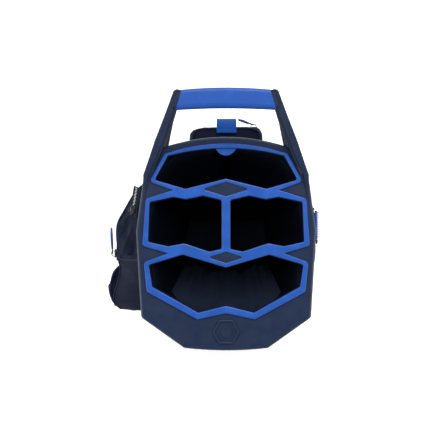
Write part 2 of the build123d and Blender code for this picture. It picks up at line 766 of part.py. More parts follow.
with BuildPart() as strap_webbing:
    with BuildSketch(back_plane.offset(PAD_OUT + 6)):
        with BuildLine() as webbing_line:
            Polyline((31, 240), (14, 132))
        trace(webbing_line.line, 25)
    extrude(amount=WEBBING)
    add(strap_pad.part, mode=Mode.SUBTRACT)

with BuildPart() as strap_buckle:
    with BuildSketch(back_plane.offset(PAD_OUT + 3.5)):
        with Locations(Location((24, 199), -14)):
            RectangleRounded(34, 24, 4)
    extrude(amount=7)
    add(strap_webbing.part, mode=Mode.SUBTRACT)

with BuildPart() as strap_anchor:
    with BuildSketch(back_plane.offset(-14)):
        with Locations((0, 140)):
            RectangleRounded(60, 26, 5)
    extrude(amount=14 + PAD_OUT + 6)
    add(body_outer, mode=Mode.SUBTRACT)

# ---------------------------------------------------------------- write every piece

pieces = {
    "cuff": cuff.part,
    "divider_grid": divider_grid.part,
    **insets,
    "handle_grip": handle_grip.part,
    "face_badge": face_badge.part,
    "collar_rivets": collar_rivets.part,
    "body_shell": body_shell.part,
    "base_cup": base_cup.part,
    "base_tread": base_tread.part,
    "rear_sheet": rear_sheet,
    "front_sheet": front_sheet,
    "middle_sheet": middle_sheet.part,
    "spine_stay": spine_stay,
    "foot_plate": foot_plate.part,
    "foot_pin": foot_pin.part,
    "apparel_pocket": apparel_pocket.part,
    "bottle_pocket": bottle_pocket.part,
    "side_pocket": side_pocket.part,
    "ball_pocket": ball_pocket.part,
    "spine_pocket": spine_pocket.part,
    **zips,
    "spine_loop": spine_loop.part,
    "side_webbing": side_webbing.part,
    "hip_pad": hip_pad.part,
    "strap_disc": strap_disc.part,
    "strap_anchor": strap_anchor.part,
}
PAIRS = {
    "leg_bracket": leg_bracket.part,
    "leg_pin": leg_pin.part,
    "leg_head": leg_head.part,
    "leg_tube": leg_tube.part,
    "leg_foot": leg_foot.part,
    "leg_clamp": leg_clamp.part,
    "push_rod": push_rod.part,
}
for name, piece in PAIRS.items():
    pieces[f"{name}_right"] = piece
    pieces[f"{name}_left"] = mirror(piece, about=Plane.YZ)
BACK_PAIRS = {
    "strap_pad": strap_pad.part,
    "strap_webbing": strap_webbing.part,
    "strap_buckle": strap_buckle.part,
}
for name, piece in BACK_PAIRS.items():
    pieces[f"{name}_left"] = piece
    pieces[f"{name}_right"] = mirror(piece, about=Plane.YZ)

os.makedirs("parts", exist_ok=True)
for name, piece in pieces.items():
    piece.label = name
    export_step(piece, f"parts/{name}.step")
print(len(pieces), "pieces written")
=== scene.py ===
import json
import math
from itertools import product

import bmesh
import bpy
import numpy as np
from mathutils import Matrix, Vector, noise
from mathutils.bvhtree import BVHTree


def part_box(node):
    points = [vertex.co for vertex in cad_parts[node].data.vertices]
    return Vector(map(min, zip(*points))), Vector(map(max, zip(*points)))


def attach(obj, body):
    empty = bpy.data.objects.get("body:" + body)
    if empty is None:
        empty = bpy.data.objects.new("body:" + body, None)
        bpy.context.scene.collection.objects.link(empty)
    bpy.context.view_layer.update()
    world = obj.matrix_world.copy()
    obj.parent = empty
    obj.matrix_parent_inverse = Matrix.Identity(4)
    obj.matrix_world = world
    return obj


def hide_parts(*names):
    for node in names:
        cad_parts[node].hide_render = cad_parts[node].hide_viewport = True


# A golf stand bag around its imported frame: the hard parts are the frame's own nodes with moulded, metal and
# rubber materials, and every soft part is built here. Metres, in the frame's axes.
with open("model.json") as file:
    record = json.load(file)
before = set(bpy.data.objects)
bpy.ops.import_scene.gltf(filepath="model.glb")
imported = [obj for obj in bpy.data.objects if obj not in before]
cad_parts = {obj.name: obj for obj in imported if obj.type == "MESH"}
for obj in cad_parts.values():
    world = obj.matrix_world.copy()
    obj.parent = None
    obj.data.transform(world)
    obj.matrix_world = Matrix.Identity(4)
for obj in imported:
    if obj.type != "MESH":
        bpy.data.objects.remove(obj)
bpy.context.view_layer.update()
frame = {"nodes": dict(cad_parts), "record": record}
nodes = frame["nodes"]
scene = bpy.context.scene
MM = 0.001
BAG = "bag"

# ---------------------------------------------------------------- camera, light and floor

FLOOR_SIZE = 80
HORIZON_STRENGTH, ZENITH_STRENGTH = 0.95, 0.10
CAMERA_AT = Vector((0.0006, -0.023, 2.135))
CAMERA_LENS = 87.5
LOOK = Vector((-0.0110, 0.0450, -1)).normalized()


def add_camera():
    """Looks down on the collar from above, as the bag is shown."""
    data = bpy.data.cameras.new("camera")
    data.lens = CAMERA_LENS
    data.sensor_width = 36
    data.clip_end = 50
    camera = bpy.data.objects.new("camera", data)
    scene.collection.objects.link(camera)
    right = LOOK.cross(Vector((0, 1, 0))).normalized()
    up = right.cross(LOOK)
    turn = Matrix((right, up, -LOOK)).transposed().to_4x4()
    camera.matrix_world = Matrix.Translation(CAMERA_AT) @ turn
    scene.camera = camera


def add_area(name, place, target, size, power):
    """A soft square light that faces the target."""
    data = bpy.data.lights.new(name, "AREA")
    data.shape = "SQUARE"
    data.size = size
    data.energy = power
    light = bpy.data.objects.new(name, data)
    scene.collection.objects.link(light)
    light.location = place
    light.rotation_mode = "QUATERNION"
    light.rotation_quaternion = (Vector(target) - Vector(place)).to_track_quat("-Z", "Y")
    return light


def add_studio():
    """White surroundings that darken overhead, a large light high behind the bag, and weaker ones."""
    world = bpy.data.worlds.new("studio")
    scene.world = world
    world.use_nodes = True
    tree = world.node_tree
    coords = tree.nodes.new("ShaderNodeTexCoord")
    split = tree.nodes.new("ShaderNodeSeparateXYZ")
    fade = tree.nodes.new("ShaderNodeMapRange")
    fade.inputs["From Min"].default_value = 0.25
    fade.inputs["From Max"].default_value = 0.95
    fade.inputs["To Min"].default_value = HORIZON_STRENGTH
    fade.inputs["To Max"].default_value = ZENITH_STRENGTH
    tree.links.new(coords.outputs["Generated"], split.inputs[0])
    tree.links.new(split.outputs[2], fade.inputs["Value"])
    tree.links.new(fade.outputs[0], tree.nodes["Background"].inputs["Strength"])
    tree.nodes["Background"].inputs["Color"].default_value = (1, 1, 1, 1)
    add_area("key", (0.3, 2.0, 2.6), (0, 0, 0.8), 1.6, 62)
    overhead = add_area("overhead", (0, 0.12, 2.7), (0, -0.05, 0.3), 0.35, 20)
    overhead.visible_glossy = False
    add_area("left", (-2.2, -0.6, 1.9), (0, 0, 0.4), 1.5, 26)
    add_area("right", (2.2, -0.6, 1.9), (0, 0, 0.4), 1.5, 22)
    scene.view_settings.view_transform = "Standard"
    bpy.ops.mesh.primitive_plane_add(size=FLOOR_SIZE, location=(0, 0, 0))
    floor = bpy.context.object
    floor.name = "floor"
    floor.data.materials.append(floor_paint())


# ---------------------------------------------------------------- materials


class Shader:
    """A material's node tree, with short ways to add nodes and to join them."""

    def __init__(self, name, color, roughness):
        self.material = bpy.data.materials.new(name)
        self.material.use_nodes = True
        self.tree = self.material.node_tree
        self.bsdf = self.tree.nodes["Principled BSDF"]
        self.set("Base Color", (*color, 1))
        self.set("Roughness", roughness)
        self.color = color
        self.coords = self.node("TexCoord")

    def set(self, socket, value):
        self.bsdf.inputs[socket].default_value = value

    def node(self, kind, **values):
        """A shader node with its properties and input values."""
        made = self.tree.nodes.new("ShaderNode" + kind)
        for key, value in values.items():
            if key in made.inputs:
                made.inputs[key].default_value = value
            else:
                setattr(made, key, value)
        return made

    def link(self, source, target):
        self.tree.links.new(source, target)

    def math(self, operation, first, second=None):
        made = self.node("Math", operation=operation)
        for index, value in enumerate((first, second)):
            if value is None:
                continue
            if isinstance(value, (int, float)):
                made.inputs[index].default_value = value
            else:
                self.link(value, made.inputs[index])
        return made.outputs[0]

    def place(self, space, scale):
        """Coordinates scaled by axis, for a texture's vector."""
        mapping = self.node("Mapping")
        mapping.inputs["Scale"].default_value = scale
        self.link(self.coords.outputs[space], mapping.inputs["Vector"])
        return mapping.outputs[0]

    def noise(self, scale, detail=3.0, vector=None, roughness=0.55):
        texture = self.node("TexNoise", Scale=scale, Detail=detail, Roughness=roughness)
        self.link(vector or self.coords.outputs["Object"], texture.inputs["Vector"])
        return texture.outputs["Fac"]

    def ramp(self, factor, low, high, dark=0.0, light=1.0):
        """Maps a factor's low to high onto dark to light."""
        made = self.node("MapRange")
        made.inputs["From Min"].default_value = low
        made.inputs["From Max"].default_value = high
        made.inputs["To Min"].default_value = dark
        made.inputs["To Max"].default_value = light
        self.link(factor, made.inputs["Value"])
        return made.outputs[0]

    def mix(self, factor, first, second):
        """Two colours, or a colour and a socket, mixed by a factor."""
        made = self.node("Mix", data_type="RGBA")
        self.link(factor, made.inputs["Factor"])
        for name, value in (("A", first), ("B", second)):
            socket = [s for s in made.inputs if s.name == name and s.type == "RGBA"][0]
            if isinstance(value, (tuple, list)):
                socket.default_value = (*value, 1)
            else:
                self.link(value, socket)
        return [s for s in made.outputs if s.type == "RGBA"][0]

    def bump(self, height, distance, strength=1.0, under=None):
        made = self.node("Bump", Distance=distance, Strength=strength)
        self.link(height, made.inputs["Height"])
        if under:
            self.link(under, made.inputs["Normal"])
        self.link(made.outputs[0], self.bsdf.inputs["Normal"])
        return made.outputs[0]

    def painted_crevice_shade(self, color, reach, darkest=0.3):
        """The colour with painted shade: darker in gaps and corners narrower than reach."""
        gap = self.node("AmbientOcclusion", samples=8, Distance=reach)
        return self.mix(self.ramp(gap.outputs["AO"], 0.35, 0.9, 0.0, 1.0), shade(self.color, darkest), color)

    def paint(self, color):
        self.link(color, self.bsdf.inputs["Base Color"])

    def roughen(self, value):
        self.link(value, self.bsdf.inputs["Roughness"])


def shade(color, factor):
    return tuple(min(1.0, max(0.0, channel * factor)) for channel in color)


def floor_paint():
    """White paint with a faint mottle, lit a little from within so that it stays white far from the bag."""
    white = (0.9, 0.9, 0.9)
    s = Shader("floor_paint", white, 0.8)
    s.paint(s.mix(s.noise(2.0), shade(white, 0.985), white))
    s.set("Emission Color", (1, 1, 1, 1))
    s.set("Emission Strength", 0.3)
    return s.material


def moulded(name, color, roughness, grain=0.00008, pitch=1500, coat=0.0):
    """Moulded plastic or rubber: a fine even texture, slight mottle, rubbed lighter spots, and painted shade
    in gaps and corners.
    """
    s = Shader(name, color, roughness)
    fine = s.noise(pitch, 2.0)
    broad = s.noise(14, 4.0)
    rubbed = s.ramp(s.noise(60, 5.0), 0.58, 0.78)
    face = s.mix(rubbed, s.mix(broad, shade(color, 0.9), shade(color, 1.1)), shade(color, 1.3))
    # Painted shade: darker where the surface sits in gaps and corners.
    s.paint(s.painted_crevice_shade(face, 0.003))
    s.roughen(s.ramp(s.noise(90, 3.0), 0.3, 0.7, roughness - 0.06, roughness + 0.08))
    s.set("Coat Weight", coat)
    s.set("Coat Roughness", 0.35)
    s.set("Specular IOR Level", 0.4)
    s.bump(fine, grain, 0.6)
    return s.material


def rim_material(name, color):
    """The soft rims: rubbed paler in random patches, with painted light on their upward-facing tops, and
    painted shade on their sides, down inside the openings and in their gaps.
    """
    s = Shader(name, color, 0.42)
    fine = s.noise(900, 2.0)
    split = s.node("SeparateXYZ")
    s.link(s.coords.outputs["Object"], split.inputs[0])
    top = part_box("divider_grid")[1].z
    # Painted shade: the rims are painted nearly black from 16 mm below their top down into the openings.
    painted_depth_shade_mask = s.ramp(split.outputs[2], top - 0.016, top - 0.004)
    worn = s.ramp(s.noise(45, 5.0), 0.45, 0.75)
    face = s.mix(worn, shade(color, 1.05), shade(color, 1.35))
    facing = s.node("SeparateXYZ")
    s.link(s.coords.outputs["Normal"], facing.inputs[0])
    # Painted light: surfaces that face up keep their colour, and those that face sideways are painted darker.
    painted_top_light_mask = s.ramp(facing.outputs[2], 0.35, 0.97)
    face = s.mix(painted_top_light_mask, shade(color, 0.33), face)
    # Painted shade down the openings and in the gaps.
    s.paint(s.painted_crevice_shade(s.mix(painted_depth_shade_mask, shade(color, 0.06), face), 0.003, 0.15))
    s.roughen(s.ramp(s.noise(90, 3.0), 0.3, 0.7, 0.36, 0.5))
    s.bump(fine, 0.00007, 0.6)
    return s.material


def metal(name, color, roughness, brushed_along=(1, 1, 30)):
    """Metal with fine lines across its brushed direction and small dull patches."""
    s = Shader(name, color, roughness)
    s.set("Metallic", 1.0)
    lines = s.noise(160, 2.0, s.place("Object", brushed_along))
    s.paint(s.mix(s.noise(25, 4.0), shade(color, 0.8), shade(color, 1.1)))
    s.roughen(s.ramp(lines, 0.3, 0.7, roughness - 0.07, roughness + 0.12))
    s.bump(lines, 0.00004, 0.4)
    return s.material


def woven(name, color, pitch=0.0012, roughness=0.78, sheen=0.08, depth=0.00022, slub_and_dip_shade=0.12):
    """Plain-woven cloth: threads that pass over and under each other, uneven yarn, a soft sheen, and painted
    shade where the threads dip.
    """
    s = Shader(name, color, roughness)
    cloth = s.place("UV", (1 / pitch, 1 / pitch, 1))
    checker = s.node("TexChecker", Scale=1.0)
    s.link(cloth, checker.inputs["Vector"])
    split = s.node("SeparateXYZ")
    s.link(cloth, split.inputs[0])
    across = s.math("ABSOLUTE", s.math("SINE", s.math("MULTIPLY", split.outputs[0], math.pi)))
    along = s.math("ABSOLUTE", s.math("SINE", s.math("MULTIPLY", split.outputs[1], math.pi)))
    over = s.math("MULTIPLY", across, checker.outputs["Fac"])
    under = s.math("MULTIPLY", along, s.math("SUBTRACT", 1.0, checker.outputs["Fac"]))
    height = s.math("ADD", over, under)
    yarn = s.noise(1.0, 2.0, s.place("UV", (1200, 35, 1)))
    tone = s.mix(s.noise(9, 4.0), shade(color, 0.86), shade(color, 1.12))
    # Painted shade: the dips between the threads are painted darker.
    tone = s.mix(s.ramp(height, 0.0, 0.8, slub_and_dip_shade * 2.5, 0.0), tone, shade(color, 0.35))
    s.paint(s.mix(s.ramp(yarn, 0.4, 0.7, 0.0, slub_and_dip_shade), tone, shade(color, 2.0)))
    s.set("Sheen Weight", sheen)
    s.set("Sheen Roughness", 0.45)
    s.set("Sheen Tint", (0.25, 0.4, 0.9, 1))
    s.set("Specular IOR Level", 0.15)
    puckers = s.bump(s.noise(70, 3.0), 0.0006, 0.35)
    s.bump(height, depth, 0.8, puckers)
    return s.material


def webbing(name, color, rib=0.0016, roughness=0.7):
    """Strap webbing: ribs across the strap with a herringbone of fine threads, and painted shade in the
    grooves between them.
    """
    s = Shader(name, color, roughness)
    split = s.node("SeparateXYZ")
    s.link(s.coords.outputs["UV"], split.inputs[0])
    run, width = split.outputs[0], split.outputs[1]
    ribs = s.math("ABSOLUTE", s.math("SINE", s.math("MULTIPLY", run, math.pi / rib)))
    zigzag = s.math("PINGPONG", width, rib * 3)
    threads = s.math("SINE", s.math("MULTIPLY", s.math("ADD", run, zigzag), 2 * math.pi / (rib * 1.5)))
    height = s.math("ADD", ribs, s.math("MULTIPLY", threads, 0.35))
    tone = s.mix(s.noise(20, 3.0), shade(color, 0.88), shade(color, 1.1))
    # Painted shade: the grooves between the ribs and threads are painted darker.
    s.paint(s.mix(s.ramp(height, -0.2, 1.2, 0.55, 0.0), tone, shade(color, 0.4)))
    s.set("Sheen Weight", 0.04)
    s.set("Sheen Roughness", 0.4)
    s.set("Specular IOR Level", 0.25)
    s.bump(height, 0.00025, 0.8)
    return s.material


def spacer_mesh(name, color, pitch=0.003):
    """Air mesh: staggered round pores in a knitted face, with painted shade in the pores."""
    s = Shader(name, color, 0.85)
    cells = s.node("TexVoronoi", feature="F1", Scale=1.0, Randomness=0.12)
    s.link(s.place("UV", (1 / pitch, 1 / pitch, 1)), cells.inputs["Vector"])
    pore = s.ramp(cells.outputs["Distance"], 0.18, 0.42)
    # Painted shade: the pores are painted dark.
    s.paint(s.mix(pore, shade(color, 0.25), s.mix(s.noise(30), shade(color, 0.9), shade(color, 1.15))))
    s.set("Sheen Weight", 0.06)
    s.set("Specular IOR Level", 0.25)
    s.bump(pore, 0.0007, 0.9)
    return s.material


# Colours are linear
NAVY_PLASTIC = (0.0062, 0.0138, 0.039)
NAVY_CLOTH = (0.0011, 0.0028, 0.0120)
BLUE = (0.0062, 0.052, 0.25)
BLUE_WEBBING = (0.001, 0.054, 0.27)
BLACK = (0.006, 0.006, 0.007)

MATERIALS = {
    "collar_plastic": moulded("collar_plastic", NAVY_PLASTIC, 0.42, coat=0.1),
    "rim_rubber": rim_material("rim_rubber", BLUE),
    "grip_rubber": moulded("grip_rubber", BLUE, 0.5, pitch=700, grain=0.00012),
    "rivet_metal": metal("rivet_metal", (0.08, 0.085, 0.1), 0.4),
    "base_plastic": moulded("base_plastic", (0.012, 0.015, 0.025), 0.5, grain=0.0002, pitch=600),
    "tread_rubber": moulded("tread_rubber", (0.012, 0.012, 0.013), 0.7, grain=0.0002, pitch=500),
    "stay_plastic": moulded("stay_plastic", BLACK, 0.5),
    "hinge_steel": metal("hinge_steel", (0.45, 0.46, 0.48), 0.3),
    "leg_aluminium": metal("leg_aluminium", (0.055, 0.06, 0.075), 0.32, (40, 40, 1)),
    "black_plastic": moulded("black_plastic", (0.006, 0.0062, 0.0075), 0.45),
    "slider_metal": metal("slider_metal", (0.05, 0.05, 0.055), 0.35),
    "silver_metal": metal("silver_metal", (0.55, 0.56, 0.58), 0.3),
    "pull_rubber": moulded("pull_rubber", BLUE, 0.5),
    "body_fabric": woven("body_fabric", NAVY_CLOTH),
    "pocket_fabric": woven("pocket_fabric", NAVY_CLOTH, pitch=0.0011),
    "liner_fabric": woven("liner_fabric", BLACK, pitch=0.0009, sheen=0.05),
    # Painted light: the sleeve's navy is far paler than the body cloth, to stand in for the light that
    # reaches the front wall deep inside the bag.
    "sleeve_fabric_painted_light": woven("sleeve_fabric_painted_light", (0.085, 0.115, 0.20), pitch=0.0009, sheen=0.1),
    "piping": woven("piping", (0.006, 0.009, 0.020), pitch=0.0008, roughness=0.6),
    "zip_tape": woven("zip_tape", (0.006, 0.007, 0.012), pitch=0.0008),
    "zip_coil": moulded("zip_coil", (0.010, 0.011, 0.014), 0.35),
    "thread": woven("thread", (0.012, 0.018, 0.045), pitch=0.0005),
    "blue_thread": woven("blue_thread", (0.02, 0.09, 0.36), pitch=0.0005),
    "blue_webbing": webbing("blue_webbing", BLUE_WEBBING),
    "black_webbing": webbing("black_webbing", (0.0045, 0.005, 0.0065)),
    "strap_cloth": woven("strap_cloth", (0.0042, 0.0066, 0.0165), pitch=0.0014, sheen=0.12),
    "air_mesh": spacer_mesh("air_mesh", (0.0042, 0.0062, 0.0145)),
}

# ---------------------------------------------------------------- mesh building


class Mesher:
    """Collects the surfaces of one piece, and makes one mesh of them with its texture laid on in metres."""

    def __init__(self):
        self.points = []
        self.faces = []
        self.uvs = []

    def surface(self, rows, wrap=False, caps=False):
        """A surface through rows of points. Wrap closes each row into a ring; caps close the ends."""
        rows = np.array(rows, float)
        height, width = rows.shape[:2]
        first = len(self.points)
        self.points += rows.reshape(-1, 3).tolist()
        closed = np.concatenate([rows, rows[:, :1]], 1) if wrap else rows
        around = np.linalg.norm(np.diff(closed, axis=1), axis=2)
        around = np.concatenate([np.zeros((height, 1)), np.cumsum(around, 1)], 1)
        along = np.linalg.norm(np.diff(rows, axis=0), axis=2).mean(1)
        along = np.concatenate([[0], np.cumsum(along)])
        for row, column in product(range(height - 1), range(width if wrap else width - 1)):
            corners = [(row, column), (row, column + 1), (row + 1, column + 1), (row + 1, column)]
            self.faces.append([first + r * width + c % width for r, c in corners])
            self.uvs.append([(around[r, c], along[r]) for r, c in corners])
        if caps:
            for row in (0, height - 1):
                self.faces.append([first + row * width + c for c in range(width)])
                self.uvs.append([(around[row, c], along[row] + rows[row, c, 2]) for c in range(width)])
        return self

    def tube(self, path, radius, sides=8, closed=False):
        """A round tube along a path; the radius may be one number or one for each point."""
        path = np.array(path, float)
        radii = np.broadcast_to(radius, len(path))
        if closed:
            tangents = np.roll(path, -1, 0) - np.roll(path, 1, 0)
        else:
            tangents = np.gradient(path, axis=0)
        side = np.cross(tangents[0], (0.31, 0.22, 0.93))
        rows = []
        for point, tangent, r in zip(path, tangents, radii):
            tangent = tangent / np.linalg.norm(tangent)
            side = side - tangent * (side @ tangent)
            side = side / np.linalg.norm(side)
            other = np.cross(tangent, side)
            turns = [2 * math.pi * k / sides for k in range(sides)]
            rows.append([point + r * (side * math.cos(a) + other * math.sin(a)) for a in turns])
        if closed:
            rows.append(rows[0])
        return self.surface(rows, wrap=True, caps=not closed)

    def band(self, path, outs, width, thick, edge=0.0005):
        """A flat strap along a path; outs point out of its face."""
        path = np.array(path, float)
        tangents = np.gradient(path, axis=0)
        half, deep = width / 2, thick / 2
        section = [
            (-half + edge, -deep), (half - edge, -deep), (half, -deep + edge), (half, deep - edge),
            (half - edge, deep), (0, deep), (-half + edge, deep), (-half, deep - edge), (-half, -deep + edge),
        ]
        rows = []
        for point, tangent, out in zip(path, tangents, np.broadcast_to(outs, path.shape)):
            across = np.cross(tangent, out)
            across = across / np.linalg.norm(across)
            out = out / np.linalg.norm(out)
            rows.append([point + across * x + out * y for x, y in section])
        return self.surface(rows, wrap=True, caps=True)

    def prism(self, outline, low, high, place, bevel=0.0, dome=0.0):
        """A plate with a rounded rim: an outline between two heights, set out by place(x, y, z)."""
        outline = np.array(outline, float)
        middle = outline.mean(0)
        shoulder = (high - bevel * 0.3, bevel * 0.3)
        steps = [(low, bevel), (low + bevel, 0), (high - bevel, 0), shoulder, (high, bevel)]
        rows = []
        for height, inset in steps:
            rows.append([place(*self.pull_in(p, middle, inset), height) for p in outline])
        for share in (0.75, 0.5, 0.25, 0.02):
            lift = dome * (1 - share * share)
            ring = [self.pull_in(p, middle, bevel) for p in outline]
            rows.append([place(*(middle + (q - middle) * share), high + lift) for q in ring])
        return self.surface(rows, wrap=True, caps=True)

    @staticmethod
    def pull_in(point, middle, inset):
        way = point - middle
        return point - way / max(np.linalg.norm(way), 1e-9) * inset

    def make(self, name, material, slot, body=BAG, smooth=True):
        """The collected surfaces as one object, with its material, that rides on a body. The slot is not
        used.
        """
        mesh = bpy.data.meshes.new(name)
        mesh.from_pydata(self.points, [], self.faces)
        layer = mesh.uv_layers.new(name="UVMap")
        layer.data.foreach_set("uv", np.array([uv for face in self.uvs for uv in face]).ravel())
        obj = bpy.data.objects.new(name, mesh)
        scene.collection.objects.link(obj)
        close_up(mesh)
        if smooth:
            mesh.polygons.foreach_set("use_smooth", [True] * len(mesh.polygons))
        mesh.materials.append(MATERIALS[material])
        mesh.update()
        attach(obj, body)
        return obj


def close_up(mesh):
    """Joins the points that meet where a surface comes back to its start, and turns every face outward."""
    work = bmesh.new()
    work.from_mesh(mesh)
    bmesh.ops.remove_doubles(work, verts=work.verts, dist=1e-7)
    bmesh.ops.recalc_face_normals(work, faces=work.faces)
    work.to_mesh(mesh)
    work.free()


def apply_modifiers(obj):
    bpy.context.view_layer.objects.active = obj
    for modifier in list(obj.modifiers):
        with bpy.context.temp_override(object=obj, active_object=obj, selected_objects=[obj]):
            bpy.ops.object.modifier_apply(modifier=modifier.name)


def positions(obj, value="co"):
    found = np.zeros(len(obj.data.vertices) * 3)
    obj.data.vertices.foreach_get(value, found)
    return found.reshape(-1, 3)


def normals(obj):
    return positions(obj, "normal")


def move_to(obj, points):
    obj.data.vertices.foreach_set("co", np.ascontiguousarray(points, dtype=float).ravel())
    obj.data.update()


def evenly(path, spacing, closed=False, count=None):
    """A path resampled at about this spacing, or to a number of points."""
    path = np.array(path, float)
    if closed:
        path = np.concatenate([path, path[:1]])
    run = np.concatenate([[0], np.cumsum(np.linalg.norm(np.diff(path, axis=0), axis=1))])
    count = count or max(2, int(round(run[-1] / spacing)) + 1)
    at = np.linspace(0, run[-1], count)
    found = np.stack([np.interp(at, run, path[:, k]) for k in range(path.shape[1])], 1)
    return found[:-1] if closed else found


def soften(path, times, closed=False):
    """A path with its corners rounded by averaging each point with its neighbours."""
    path = np.array(path, float)
    for _ in range(times):
        before, after = np.roll(path, 1, 0), np.roll(path, -1, 0)
        eased = (before + 2 * path + after) / 4
        if not closed:
            eased[0], eased[-1] = path[0], path[-1]
        path = eased
    return path


def sideways(path):
    """The way to the right of a flat path at each of its points."""
    run = np.gradient(path, axis=0)
    return np.column_stack([run[:, 1], -run[:, 0]]) / np.linalg.norm(run, axis=1)[:, None]


def distance_to(points, path):
    """How far each point is from a polyline."""
    path = np.array(path, float)
    nearest = np.full(len(points), 1e9)
    for a, b in zip(path[:-1], path[1:]):
        along = np.clip((points - a) @ (b - a) / max((b - a) @ (b - a), 1e-12), 0, 1)
        nearest = np.minimum(nearest, np.linalg.norm(points - a - along[:, None] * (b - a), axis=1))
    return nearest


def rough(points, scale, seed, stretch=(1, 1, 1)):
    """Smooth noise from about -1 to 1 at each point."""
    offset = Vector((seed * 7.31, seed * 3.17, seed * 5.77))
    return np.array([noise.noise(Vector(p * np.array(stretch)) * scale + offset) for p in points])


def box_uvs(obj):
    """Lays the texture on in metres, from the side that each face looks at most."""
    mesh = obj.data
    while mesh.uv_layers:
        mesh.uv_layers.remove(mesh.uv_layers[0])
    layer = mesh.uv_layers.new(name="UVMap")
    points = positions(obj)
    corner_vertex = np.zeros(len(mesh.loops), int)
    mesh.loops.foreach_get("vertex_index", corner_vertex)
    facing = np.zeros(len(mesh.polygons) * 3)
    mesh.polygons.foreach_get("normal", facing)
    totals = np.zeros(len(mesh.polygons), int)
    mesh.polygons.foreach_get("loop_total", totals)
    side = np.repeat(np.abs(facing.reshape(-1, 3)).argmax(1), totals)
    p = points[corner_vertex]
    u = np.where(side == 0, p[:, 1], p[:, 0])
    v = np.where(side == 2, p[:, 1], p[:, 2])
    layer.data.foreach_set("uv", np.stack([u, v], 1).ravel())


# ---------------------------------------------------------------- sewn pieces


def remeshed(name, node, voxel, material):
    """A copy of a node's shape in even faces, for shaping as cloth."""
    obj = bpy.data.objects.new(name, nodes[node].data.copy())
    scene.collection.objects.link(obj)
    work = bmesh.new()
    work.from_mesh(obj.data)
    bmesh.ops.remove_doubles(work, verts=work.verts, dist=1e-5)
    work.to_mesh(obj.data)
    work.free()
    modifier = obj.modifiers.new("remesh", "REMESH")
    modifier.mode = "VOXEL"
    modifier.voxel_size = voxel
    modifier.use_smooth_shade = True
    apply_modifiers(obj)
    obj.data.materials.clear()
    obj.data.materials.append(MATERIALS[material])
    return obj


def hold(obj, weights):
    group = obj.vertex_groups.new(name="held")
    for index, weight in enumerate(weights):
        if weight > 0.01:
            group.add([index], float(weight), "REPLACE")
    return group.name


def simulate(obj, weights, pressure, growth, frames=20):
    """Cloth filled from inside. Growth is how much larger the cloth is cut than the shape it fills."""
    modifier = obj.modifiers.new("cloth", "CLOTH")
    settings = modifier.settings
    settings.quality = 6
    settings.mass = 0.3
    settings.tension_stiffness = 25
    settings.compression_stiffness = 25
    settings.shear_stiffness = 8
    settings.bending_stiffness = 0.8
    settings.use_pressure = True
    settings.uniform_pressure_force = pressure
    settings.shrink_min = -growth
    settings.effector_weights.gravity = 0
    settings.vertex_group_mass = hold(obj, weights)
    settings.pin_stiffness = 2
    modifier.collision_settings.use_self_collision = False
    modifier.point_cache.frame_start = 1
    modifier.point_cache.frame_end = frames
    for step in range(1, frames + 1):
        scene.frame_set(step)
    bpy.context.view_layer.update()
    apply_modifiers(obj)
    scene.frame_set(1)


def folded(points, outs, seed, depth, scale=26.0, stretch=(1, 1, 0.45)):
    """Points with soft folds pressed into them, which run mostly up and down, and smaller creases across."""
    ridges = 1 - 2 * np.abs(rough(points, scale, seed, stretch))
    creases = rough(points, scale * 2.6, seed + 4, (1, 1, 0.8))
    return points + outs * (depth * (0.7 * (ridges - 0.45) + 0.35 * creases))[:, None]


SEAM_REACH = 0.006  # how far a seam draws the cloth in, to each side


def padded_piece(name, node, material, voxel, pressure=4.0, growth=0.03, cap=0.008, inset=0.001,
                 seams=(), seam_pull=0.0015, held=None, folds=0.0, seed=0, shape=None):
    """A soft piece from a node's shape: blown up by cloth simulation, drawn in along its seams."""
    obj = remeshed(name, node, voxel, material)
    start = positions(obj)
    start = start - normals(obj) * inset
    move_to(obj, start)
    weights = held(start) if held else np.zeros(len(start))
    simulate(obj, weights, pressure, growth)
    moved = positions(obj) - start
    length = np.linalg.norm(moved, axis=1)
    length[length < 1e-9] = 1e-9
    eased = cap * np.tanh(length / cap)
    points = start + moved / length[:, None] * eased[:, None]
    move_to(obj, points)
    if seams:
        near = np.min([distance_to(points, seam) for seam in seams], 0)
        pull = seam_pull * np.exp(-((near / SEAM_REACH) ** 2))
        move_to(obj, points - normals(obj) * pull[:, None])
    modifier = obj.modifiers.new("subdivision", "SUBSURF")
    modifier.levels = 1
    apply_modifiers(obj)
    if folds:
        points, outs = positions(obj), normals(obj)
        loose = 1 - (held(points) if held else 0)
        move_to(obj, folded(points, outs * np.clip(loose, 0, 1)[:, None], seed, folds))
    if shape:
        shape(obj)
    obj.vertex_groups.clear()
    obj.data.polygons.foreach_set("use_smooth", [True] * len(obj.data.polygons))
    box_uvs(obj)
    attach(obj, BAG)
    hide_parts(node)
    return obj


class Surface:
    """The outside of a finished piece, for laying seams and stitches on it."""

    def __init__(self, obj):
        work = bmesh.new()
        work.from_mesh(obj.data)
        self.tree = BVHTree.FromBMesh(work)
        work.free()

    def on(self, path, lift=0.0):
        """The path moved onto the surface, and the way out of it at each point."""
        points, outs = [], []
        for point in path:
            found, normal, _, _ = self.tree.find_nearest(Vector(point))
            points.append(np.array(found) + np.array(normal) * lift)
            outs.append(np.array(normal))
        return np.array(points), np.array(outs)


